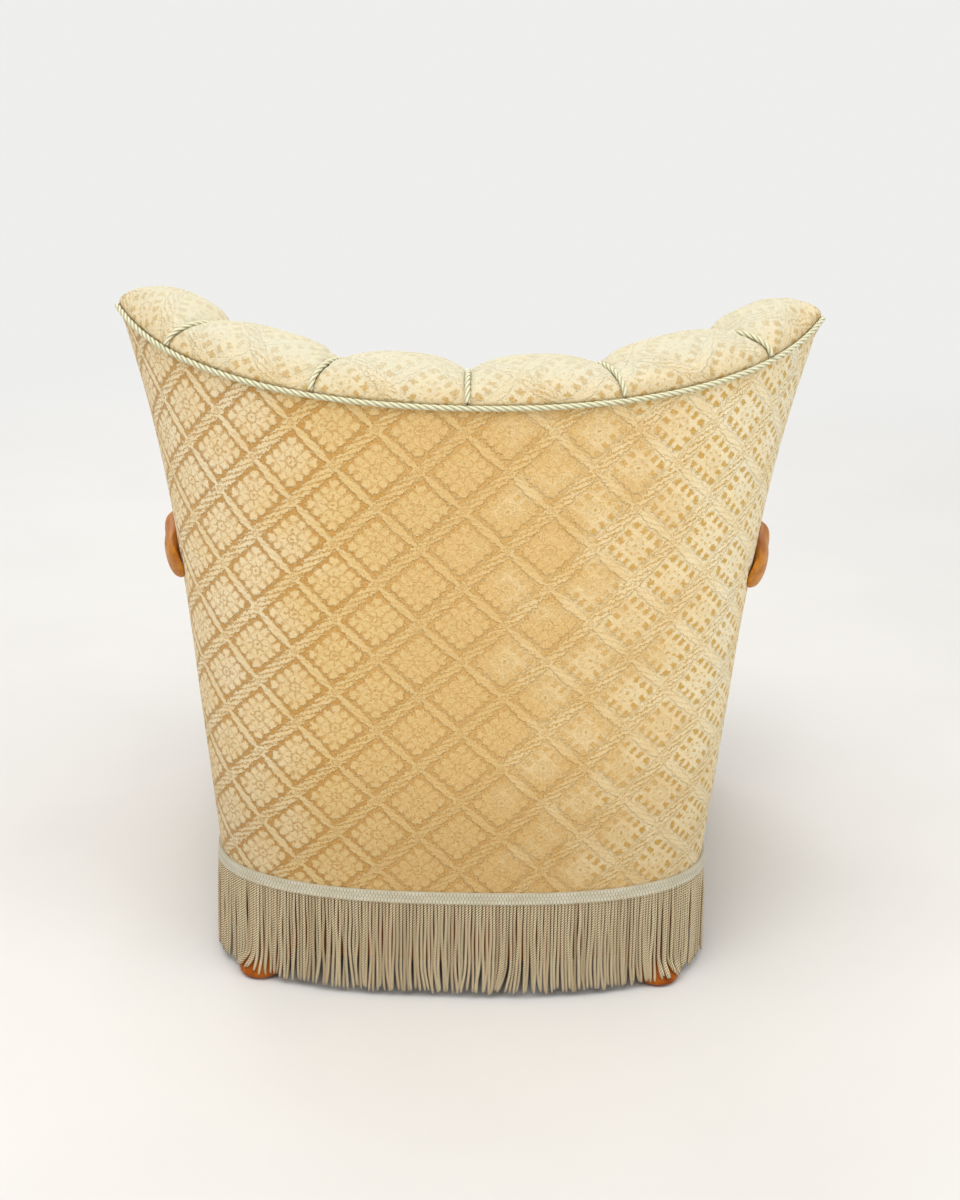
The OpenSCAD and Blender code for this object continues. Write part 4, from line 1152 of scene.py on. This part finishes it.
# Bullion fringe: a woven head and single twisted strands, which part round the feet
fringe = {
    "count": 628,
    "radius": 1.78,
    "top": 138,
    "head": 12,
    "rings": 24,
    "sides": 7,
    "lay": 9.6,
    "spread": 1.25,
    "groups": 3.2,
    "curl": 9,
    "footGap": 0.6,
    "footAbove": 12,
    "bendUp": 0.35,
    # a strand hangs straight down to this share of its length, and its end curls from the next
    "looseFrom": 0.38,
    "curlFrom": 0.72,
    "kinkCount": (5, 10),
    "kinkMost": 0.9,
    "jitter": 0.06,
    "lowest": 6,
    "ends": (5, 2.5, 0.37),
    "widths": (0.92, 1.06),
    "lastWidths": (0.95, 0.55),
    "tintMiddle": 0.45,
    "tintSpread": 0.25,
    "rib": 4.0,
    "ribPoints": 5,
    "ribDepth": 0.55,
    "scallop": (0.9, 0.35),
    # how far the head stands out, and its height under the top, from the upper edge to the lower
    "profile": [
        (0.2, 0),
        (2.6, 0.3),
        (3.3, -1.6),
        (3.0, -6),
        (3.3, -9.5),
        (4.6, -11.2),
        (4.4, -12.6),
        (2.2, -13.2),
        (0.3, -11),
    ],
}
feet = {
    "tops": [(219, 261, 36), (247, -314, -12)],
    "splay": 21,
    "topRadius": 31,
    "footRadius": 26,
    "belly": 3,
    "height": 46,
    "glide": 3,
    "sides": 48,
    # the rounded lower edge: shares of the height, and how much narrower the foot is there
    "lowerShares": [0, 0, 0.02, 0.06],
    "lowerEdge": [26, 6, 3.2, 1.2],
    "topClosed": 4,
    "least": 0.5,
}


def footRadius(k):  # k is 0 at the glide and 1 at the frame
    low, high = feet["footRadius"], feet["topRadius"]
    return low + (high - low) * k + feet["belly"] * np.sin(math.pi * k)


def loopPoints(z, inset, shares):
    loop = baseLoop(z, inset)
    line = np.concatenate([loop, loop[:1]])
    length = cumulative(line, 0)[-1]
    at = (shares % 1.0) * length
    points = pointsAt(line, at)
    along = unit(pointsAt(line, (at + 1) % length) - points)
    out = stacked(along[:, 1], -along[:, 0], 0)
    out *= np.sign((out * (points - seat["baseMiddle"])).sum(1))[:, None]
    return points, along, out, length


def footPush(points, height):  # how far a foot stands in a strand's way at this height
    push = np.zeros_like(points)
    k = np.clip((height - feet["glide"]) / (feet["height"] - feet["glide"]), 0, 1)
    for side in (1, -1):
        for x, y, rake in feet["tops"]:
            away = points[..., :2] - stacked(side * (x + feet["splay"] * (1 - k)), y + rake * (1 - k))
            far = np.linalg.norm(away, axis=-1)
            clear = footRadius(k) + fringe["radius"] + fringe["footGap"]
            short = np.maximum(0, clear - far) * (height < feet["height"] + fringe["footAbove"])
            push[..., :2] += away / np.maximum(far, 1)[..., None] * short[..., None]
    return push


def makeStrands():
    n, rings, sides = fringe["count"], fringe["rings"], fringe["sides"]
    pick = np.random.default_rng(3)
    order = np.arange(n)
    share = (order + pick.uniform(-fringe["jitter"], fringe["jitter"], n)) / n
    start, along, out, _ = loopPoints(form["hem"], -fringe["radius"] - 0.5, share)
    start, along, out = start[:, None], along[:, None], out[:, None]
    t = steps(0, 1, rings)
    top = fringe["top"] - fringe["head"] + 2
    ragged, wave, pace = fringe["ends"]
    end = fringe["lowest"] + ragged * pick.random(n) ** 2 + wave * np.abs(np.sin(order * pace))
    z = top - t * (top - end[:, None])
    turn = share * 2 * math.pi
    group = softNoise(turn * 60, 0, 8, 9, 0.6, 1.6) * fringe["groups"]
    single = pick.normal(0, 1.0, n)
    pair = np.where(order % 2 == 0, 1.0, -1.0) * pick.uniform(-0.4, 1.0, n)
    loose = np.clip((t - fringe["looseFrom"]) / (1 - fringe["looseFrom"]), 0, 1) ** 1.6
    kink = np.sin(t * pick.uniform(*fringe["kinkCount"], n)[:, None] + pick.uniform(0, 6.3, n)[:, None])
    kink = kink * pick.uniform(0, fringe["kinkMost"], n)[:, None]
    apart = group + single * fringe["spread"] + pair * 0.5
    sway = apart[:, None] * loose + kink * np.minimum(1, t * 2.5)
    layer = (pick.normal(0, 1.1, n)[:, None] + 0.6) * np.minimum(1, t * 3) + 1.6 * t**2 + 0.5 * kink
    curl = softNoise(turn * 26, 0, 12, 8, 0.6, 1.5) * fringe["curl"] + pick.normal(0, 1.3, n)
    curled = np.clip((t - fringe["curlFrom"]) / (1 - fringe["curlFrom"]), 0, 1) ** 1.5
    sway = sway + curl[:, None] * curled
    path = start + along * sway[..., None] + out * layer[..., None]
    path[..., 2] = z
    push = footPush(path, z).swapaxes(0, 1)
    for _ in range(3):  # the bend round a foot begins above it
        push = eased(push)
    push = push.swapaxes(0, 1)
    path += push
    path[..., 2] += np.linalg.norm(push, axis=-1) * fringe["bendUp"]
    tangent = unit(np.gradient(path, axis=1))
    first = unit(along - tangent * (tangent * along).sum(-1, keepdims=True))
    second = np.cross(tangent, first)
    angle = circle(sides)[:, None]
    taper = np.ones(rings)
    taper[-2:] = fringe["lastWidths"]
    radius = fringe["radius"] * pick.uniform(*fringe["widths"], n)[:, None] * taper
    ring = np.cos(angle) * first[:, :, None] + np.sin(angle) * second[:, :, None]
    points = path[:, :, None] + ring * radius[..., None, None]
    uv = stacked(cumulative(path, 1)[..., None] / fringe["lay"], steps(0, 1, sides + 1))
    tint = np.clip(fringe["tintMiddle"] + fringe["tintSpread"] * pick.normal(0, 1, n), 0, 1)
    values = {"tint": np.repeat(tint, rings * sides)}
    piece = gridPiece("fringeStrands", zip(points, uv), strandMaterial, True, (-1,), values=values)
    outward(piece)
    settle(piece, "fringe", "fringe")
    return piece


def makeHead():
    ribs = int(round(loopPoints(form["hem"], 0, np.array([0.0]))[3] / fringe["rib"]))
    count, (low, high) = ribs * fringe["ribPoints"], fringe["scallop"]
    start, _, out, _ = loopPoints(form["hem"], 0, np.arange(count) / count)
    rib = np.abs(np.sin(np.arange(count) * math.pi / fringe["ribPoints"])) ** 0.7
    points = []
    for i, (depth, drop) in enumerate(fringe["profile"]):
        scallop = -low * rib if drop < -10 else high * rib if drop > -2 else 0 * rib
        swell = fringe["ribDepth"] * rib if 0 < i < len(fringe["profile"]) - 1 else 0 * rib
        p = start + out * (depth + swell)[:, None]
        p[:, 2] = fringe["top"] + drop + scallop
        points.append(p)
    down = np.array([-drop for _, drop in fringe["profile"]])
    uv = stacked(steps(0, ribs, count + 1), down[:, None] / fringe["rib"])
    piece = gridPiece("fringeHead", [(np.array(points), uv)], headMaterial, True, flip=True)
    settle(piece, "fringe", "fringe")
    return piece


def makeHeadMaterial():
    material, tree, shader = newMaterial(
        "fringeHead", Roughness=0.75, Sheen_Weight=0.25, Specular_IOR_Level=0.25
    )
    uv = made(tree, "UVMap", "UV")
    fine = uv.noise(3.0, 4.0, 0.65, (2.0, 6.0, 1.0))
    patches = uv.noise(1.0, 3.0, 0.5, (0.12, 0.4, 1.0))
    column, row, _ = uv.split()
    rib = ((column + row.math("FLOOR") * 0.5).math("FRACT") - 0.5).size()  # a half between two ribs
    rib = rib.most((row.math("FRACT") - 0.5).size() - 0.10)
    color = fine.step(0.35, 0.7).mixed(linear(186, 176, 148), linear(220, 213, 190))
    color = (patches.step(0.35, 0.7) * 0.5).mixed(color, linear(226, 221, 202))
    # painted shade in the grooves between the ribs and between the rows
    color = (rib.step(0.28, 0.48) * 0.7).mixed(color, linear(138, 126, 98))
    feed(shader["Base Color"], color)
    feed(shader["Normal"], (fine * 0.5 - rib * 1.6).bumped(0.0009))
    return material


headMaterial = makeHeadMaterial()
fringeHead = makeHead()
fringeStrands = makeStrands()
print("fringe made")


# Turned feet
def makeFoot(spot, side):
    x, y, rake = feet["tops"][0 if "rear" in spot else 1]
    k = np.concatenate([feet["lowerShares"], steps(0.12, 1, 18), [1.0]])
    radius = footRadius(k)
    radius[: len(feet["lowerEdge"])] -= feet["lowerEdge"]
    radius[-1] = feet["topClosed"]
    radius, k, angle = np.maximum(radius, feet["least"])[:, None], k[:, None], circle(feet["sides"])
    px = side * (x + feet["splay"] * (1 - k)) + radius * np.cos(angle)
    py = y + rake * (1 - k) + radius * np.sin(angle)
    points = stacked(px, py, feet["glide"] + (feet["height"] - feet["glide"]) * k)
    piece = gridPiece("turnedFoot_" + spot, [(points, tubeUv(len(k), feet["sides"]))], stainedFootShaded, True)
    outward(piece)
    settle(piece, "stained_wood", "foot_" + spot)


for spot in ("rear_left", "rear_right", "front_left", "front_right"):
    makeFoot(spot, 1 if "left" in spot else -1)
print("feet made")


# Show-wood arms and their posts
arms = {
    "z": 492,
    "height": 43,
    "width": 46,
    "rise": 7,
    "handX": 386,
    "handY": -292,
    "lap": 9,
    "sides": 40,
    "fill": 0.86,
    "endShares": (0.05, 0.5),
    "thinnest": 0.6,
    # on the cover: y, inner and outer side from the cover, rise, half height
    "tail": [
        (233, 0.5, 3, -2, 9),
        (226, 0.5, 7, -1, 15),
        (208, 0.5, 13.5, 0, 19.5),
        (178, 1, 19, 0, 21),
        (135, 3.5, 23, 0, 21.5),
        (96, 9, 27, 0.5, 21.5),
    ],
    # free of it: y, outer side from the hand's, rise, half width
    "run": [
        (62, 20, 1, 14),
        (20, 17, 2, 18),
        (-50, 10, 4, 21),
        (-120, 4, 6, 22.5),
        (-180, 0, 7, 23),
        (-235, 0, 7, 23),
    ],
    # hand: how far behind its front, drop, half width, half height
    "hand": [
        (34, 3, 23, 21),
        (18, 10, 22.5, 20.5),
        (10, 20, 21.5, 18.5),
        (9, 29, 18, 14.5),
        (10, 35, 11, 7.5),
    ],
}
posts = {
    "y": -228,
    "foot": 152,
    "width": 34,
    "depth": 42,
    "head": 52,
    "shoulder": 3,
    "fit": 0.3,
    "clear": 0.6,
    "leanPower": 1.3,
    # share of the height, swing, width and depth from the foot up
    "shape": [
        (0, 5, 0.5, 0.55),
        (0.02, 5, 0.82, 0.84),
        (0.06, 5, 0.98, 1),
        (0.2, 1, 1, 0.96),
        (0.4, -6, 0.95, 0.84),
        (0.6, -9, 0.9, 0.8),
        (0.78, -6, 0.94, 0.88),
        (0.91, -2, 1.08, 1.04),
    ],
}
handMiddle = arms["handX"] - arms["width"] / 2


def coverX(y, z):
    share = np.clip((y - sideStart(z)) / cornerRun(z), 0, 1)
    corner = halfWidth(z) * (1 - share ** squareness(z)) ** (1 / squareness(z))
    return float(np.where(y < sideStart(z), sideX(y, z), corner))


def curved(stations, fine):  # a smooth run through the stations
    v = np.asarray(stations, float)
    v = np.concatenate([2 * v[:1] - v[1:2], v, 2 * v[-1:] - v[-2:-1]])
    a, b, c, d = (v[i : len(v) - 3 + i, None] for i in range(4))
    t = steps(0, 1, fine + 1)[:-1, None]
    run = 2 * b + (c - a) * t + (2 * a - 5 * b + 4 * c - d) * t * t + (3 * b - a - 3 * c + d) * t**3
    return np.concatenate([0.5 * run.reshape(-1, v.shape[1]), v[-2:-1]])


def rounded(v):
    return np.sign(v) * np.abs(v) ** arms["fill"]


def carved(name, path, guides, halves, material, replaced):
    tangent = unit(np.gradient(path, axis=0))
    second = unit(np.cross(tangent, guides))
    first, angle = np.cross(second, tangent), circle(arms["sides"])
    ring = (halves[:, :1] * rounded(np.cos(angle)))[..., None] * first[:, None]
    ring = ring + (halves[:, 1:] * rounded(np.sin(angle)))[..., None] * second[:, None]
    rows = [0, *range(len(path)), -1, -1]  # both ends close in on themselves
    least, half = arms["endShares"]
    share = np.array([least] + [1.0] * len(path) + [half, least])
    points = path[rows][:, None] + ring[rows] * share[:, None, None]
    piece = gridPiece(name, [(points, tubeUv(len(points), arms["sides"]))], material, True)
    outward(piece)
    settle(piece, "stained_wood", replaced)


def makeArm(side, name, replaced):
    z, high = arms["z"], arms["height"]
    lean = (halfWidth(z - high / 2) - halfWidth(z + high / 2)) / high
    stations = []
    for y, near, far, up, halfHigh in arms["tail"]:
        x, half = coverX(y, z) + (near + far) / 2, (far - near) / 2
        stations.append((x, y, z + up, half, halfHigh, lean))
    for y, back, up, half in arms["run"]:
        stations.append((arms["handX"] - back - half, y, z + up, half, high / 2, 0))
    for behind, drop, half, halfHigh in arms["hand"]:
        stations.append((handMiddle, arms["handY"] + behind, z + arms["rise"] - drop, half, halfHigh, 0))
    fine = curved(stations, 5)
    guides = stacked(1, 0, side * fine[:, 5])
    halves = np.maximum(fine[:, 3:5], arms["thinnest"])
    carved(name, fine[:, :3] * [side, 1, 1], guides, halves, stainedArm, replaced)


def makePost(side, name, replaced):
    top = arms["z"] + arms["rise"] - arms["height"] / 2 + arms["lap"] - posts["fit"]
    stations = []
    for share, swing, wide, deep in posts["shape"]:
        z, y = posts["foot"] + (top - posts["foot"]) * share, posts["y"] + swing
        low = float(sideX(y, min(z, form["rim"]))) + posts["clear"] + posts["width"] / 2
        up = max(0, (z - form["rim"]) / (top - form["rim"]))
        x = low + (handMiddle - low) * up ** posts["leanPower"]
        stations.append((x, y, z, posts["width"] / 2 * wide, posts["depth"] / 2 * deep))
    for z in (top - arms["lap"], top):
        wide = arms["width"] / 2 - posts["shoulder"]
        stations.append((handMiddle, posts["y"], z, wide, posts["head"] / 2))
    fine = curved(stations, 6)
    carved(name, fine[:, :3] * [side, 1, 1], [1.0, 0, 0], fine[:, 3:5], stainedPost, replaced)


for make, name, replaced in ((makeArm, "carvedArm", "arm_"), (makePost, "carvedPost", "arm_post_")):
    for side, label in ((1, "left"), (-1, "right")):
        make(side, name + label.title(), replaced + label)
print("arms and posts made")


# Cloth and webbing inside the seat and the back. Their uv is in metres.
inside = {
    "canvasZ": 290.9,
    "canvasInset": 9.0,
    "canvasWave": 0.5,
    "liningInset": 48.6,
    "borderLiningInset": 4.0,
    "borderLining": (177, -8),  # its foot, and its top from the rim
    "backLining": (6, -3),  # its foot over the canvas, and its top from the edge
    "webInset": 46.2,
    "webWidth": 56,
    "webZ": 43.9,
    "webRise": 1.1,
    "backWebs": (-0.62, -0.2, 0.2, 0.62),
    "backWebHalf": 0.045,
    "backWeb": (12, -22),
    "webEnds": (12, 18),  # how far the straps end inside the outline in front and at the sides, and behind
    "springPitch": 140,
    "springY": -95,
    "dustZ": 41.0,
    "dustSag": 3.0,
    "dustWave": 0.8,
    "dustHalf": (290, 380),
    "dustMiddle": 25,
    "dustCell": 9.0,
    "dustInset": 14,
    "dustDrop": 0.15,  # how far down their rake the feet pass the cloth
    "dustClear": 4,
}


def declareSheet(piece, uv, slot, replaced):
    settle(piece, slot, replaced)


def clothPiece(name, points, replaced, flat=None):
    if flat is None:
        across, along = cumulative(points, 1), cumulative(points, 0)
        middle = points.shape[1] // 2
        flat = stacked(across - across[:, middle, None], along[:, middle, None])
    piece = gridPiece(name, [(points, flat * mm)], hessian)
    declareSheet(piece, flat * mm, "canvas", replaced)


def makeInnerCloth():
    front = evenly(borderLine(inside["canvasZ"], inside["canvasInset"]), 90)[::-1]
    rear = evenly(shell(steps(-1, 1, 120), inside["canvasZ"], channels["coreInset"]), 90)
    t = steps(0, 1, 46)[:, None, None]
    canvas = rear * (1 - t) + front * t
    wave = 2 * math.pi / inside["springPitch"]
    x, y = canvas[..., 0], canvas[..., 1] - inside["springY"]
    canvas[..., 2] += inside["canvasWave"] * np.cos(x * wave) * np.cos(y * wave)
    clothPiece("springCanvas", canvas, "spring_canvas", canvas[..., :2])
    s, (low, high) = steps(-1, 1, 100), inside["backLining"]
    low = inside["canvasZ"] + low
    z = low + (topZ(s) + high - low) * steps(0, 1, 50)[:, None]
    clothPiece("backLining", shell(s, z, inside["liningInset"]), "back_lining")
    low, high = inside["borderLining"]
    heights = steps(low, form["rim"] + high, 20)
    lining = np.array([borderLine(h, inside["borderLiningInset"]) for h in heights])
    clothPiece("borderLining", lining, "seat_border_lining")


def strapPiece(name, grids, replaced):  # the straps follow one another in the uv
    laid, start = [], 0.0
    for grid in grids:
        run = cumulative(grid, 0)[:, grid.shape[1] // 2] * mm
        laid.append((grid, stacked(cumulative(grid, 1)[0] * mm, run[:, None] + start)))
        start += float(run[-1])
    uv = np.concatenate([uv.reshape(-1, 2) for _, uv in laid])
    declareSheet(gridPiece(name, laid, jute), uv, "webbing", replaced)


def makeStraps():
    half, pitch = inside["webWidth"] / 2, inside["springPitch"]
    across = steps(-half, half, 5)
    straps = []
    near, behind = inside["webEnds"]
    for k in (-1, 0, 1):  # each strap passes over and under the others in turn
        y = steps(seat["front"] + near, form["rear"] - behind, 130)[:, None]
        over = np.cos((y - inside["springY"]) / pitch * math.pi + k * math.pi)
        straps.append(stacked(k * pitch + across, y, inside["webZ"] - inside["webRise"] * over))
    for k in (-1, 0, 1):
        x = steps(-form["halfWidth"] + near, form["halfWidth"] - near, 120)[:, None]
        over = np.cos(x / pitch * math.pi + k * math.pi)
        y = inside["springY"] + k * pitch + across
        straps.append(stacked(x, y, inside["webZ"] + inside["webRise"] * over))
    strapPiece("seatStraps", straps, "seat_webbing")
    straps, (low, high) = [], inside["backWeb"]
    low = inside["canvasZ"] + low
    for middle in inside["backWebs"]:
        s = middle + steps(-inside["backWebHalf"], inside["backWebHalf"], 5)
        z = low + (topZ(s) + high - low) * steps(0, 1, 50)[:, None]
        straps.append(shell(s, z, inside["webInset"]))
    strapPiece("backStraps", straps, "back_webbing")


def within(outline, points):
    px, py = points[:, :1], points[:, 1:]
    (ax, ay), (bx, by) = outline.T, np.roll(outline, -1, 0).T
    level = (bx - ax) * (py - ay) / (by - ay + 1e-12) + ax
    return (((ay > py) != (by > py)) & (px < level)).sum(1) % 2 == 1


def makeDustCloth():
    outline = baseLoop(form["hem"], inside["dustInset"])[:, :2]
    cell = inside["dustCell"]
    low, high = outline.min(0) - cell, outline.max(0) + cell
    grid = np.stack(np.meshgrid(*(np.arange(a, b, cell) for a, b in zip(low, high))), -1)
    flat = grid.reshape(-1, 2)
    holes, drop = [], inside["dustDrop"]
    for side in (1, -1):
        holes += [(side * (x + feet["splay"] * drop), y + rake * drop) for x, y, rake in feet["tops"]]
    holeRadius = feet["topRadius"] + feet["belly"] + inside["dustClear"]
    keep = within(outline, flat)
    for hole in holes:
        keep &= np.hypot(*(flat - hole).T) > holeRadius
    quads = gridFaces(np.arange(len(flat)).reshape(grid.shape[:2]))
    quads = quads[keep[quads].sum(1) >= 2]
    used = np.unique(quads)
    moved = flat.copy()
    for i in used[~keep[used]]:  # the edge follows the outline and the feet
        moved[i] = outline[np.argmin(np.hypot(*(outline - flat[i]).T))]
        for hole in holes:
            away = flat[i] - hole
            if np.hypot(*away) < holeRadius:
                moved[i] = hole + away / max(np.hypot(*away), 1e-6) * holeRadius
    number = -np.ones(len(flat), int)
    number[used] = np.arange(len(used))
    points, faces = moved[used], number[quads]
    x, y = points.T
    wide, deep = inside["dustHalf"]
    reach = np.clip(1 - (x / wide) ** 2, 0, 1) * np.clip(1 - ((y + inside["dustMiddle"]) / deep) ** 2, 0, 1)
    wave = inside["dustWave"] * softNoise(x / 50, y / 50, 17, 8)
    z = inside["dustZ"] - inside["dustSag"] * reach + wave * reach
    corners = points[faces.ravel()] * mm
    piece = finishMesh("dustCloth", stacked(x, y, z), faces.tolist(), corners, blackCloth)
    declareSheet(piece, points * mm, "black_cloth", "dust_cover")


makeInnerCloth()
makeStraps()
makeDustCloth()
print("inner cloth made")


# Frame, springs and glides keep their solids and take a finish
finishes = {
    stainedRail: ["rear_rail", "front_rail", "side_rail_left", "side_rail_right"],
    rawWood: [
        "corner_blocks",
        "back_stile_left",
        "back_stile_right",
        "wing_post_left",
        "wing_post_right",
        "back_top_rail",
        "back_mid_rail",
        "arm_rail_left",
        "arm_rail_right",
        "arm_uprights",
    ],
    springSteel: ["seat_springs", "seat_edge_wire"],
    glideSteel: ["glides"],
}
for material, names in finishes.items():
    for name in names:
        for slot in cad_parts[name].material_slots:
            slot.link = "OBJECT"
            slot.material = material
print("frame finished")


# Floor, light and background
room = {
    "half": 9,
    "floor": linear(226, 224, 220),
    "fade": (1.0, 3.6),
    "background": (0.86, 0.86, 0.85, 1),
    "sky": 0.62,
}
lamps = {
    "key": {"place": (0.9, 1.9, 3.6), "size": 2.8, "power": 84},
    "fill": {"place": (-2.2, 1.8, 2.8), "size": 2.4, "power": 34},
    "front": {"place": (0.6, -3.0, 2.8), "size": 2.6, "power": 48},
}


def showBackground(tree, share, lit, emitter, output):
    # the camera, and gloss and glass, see the plain background for this share
    rays = made(tree, "LightPath", "Is Camera Ray")
    others = rays.socket.node.outputs
    seen = rays.most(Wire(others["Is Glossy Ray"]), Wire(others["Is Transmission Ray"]))
    plain = made(tree, emitter, 0, {"Color": room["background"]})
    blend = {0: share * seen if share else seen, 1: Wire(lit.outputs[0]), 2: plain}
    feed(output.inputs[0], made(tree, "MixShader", 0, blend))


def makeFloor():
    half = room["half"]
    corners = [(-half, -half, 0), (half, -half, 0), (half, half, 0), (-half, half, 0)]
    mesh = bpy.data.meshes.new("floor")
    mesh.from_pydata(corners, [], [(0, 1, 2, 3)])
    floor = bpy.data.objects.new("floor", mesh)
    bpy.context.scene.collection.objects.link(floor)
    material, tree, shader = newMaterial("floorPaint", Roughness=0.8, Specular_IOR_Level=0.1)
    coords = made(tree, "TexCoord", "Object")
    speckle = coords.noise(3.0, 5.0).step(0.3, 0.7)
    feed(shader["Base Color"], speckle.mixed(room["floor"], dimmed(room["floor"], 0.97)))
    x, y, _ = coords.split()
    # far from the chair the floor takes the background's tone
    far = (x * x + y * y).math("SQRT").step(*room["fade"])
    showBackground(tree, far, tree.nodes["Principled BSDF"], "Emission", tree.nodes["Material Output"])
    mesh.materials.append(material)


def makeWorld():
    world = bpy.data.worlds.new("studio")
    bpy.context.scene.world = world
    world.use_nodes = True
    tree = world.node_tree
    light = tree.nodes["Background"]
    light.inputs["Color"].default_value = (1, 1, 1, 1)
    light.inputs["Strength"].default_value = room["sky"]
    showBackground(tree, None, light, "Background", tree.nodes["World Output"])


def makeLamps():
    for name, lamp in lamps.items():
        light = bpy.data.lights.new(name, "AREA")
        light.size = lamp["size"]
        light.energy = lamp["power"]
        rig = bpy.data.objects.new(name, light)
        rig.location = lamp["place"]
        aim = Vector((0, 0, 0.4)) - Vector(lamp["place"])
        rig.rotation_euler = aim.to_track_quat("-Z", "Y").to_euler()
        bpy.context.scene.collection.objects.link(rig)


makeFloor()
makeWorld()
makeLamps()
bpy.context.scene.view_settings.view_transform = "Standard"
print("room made")
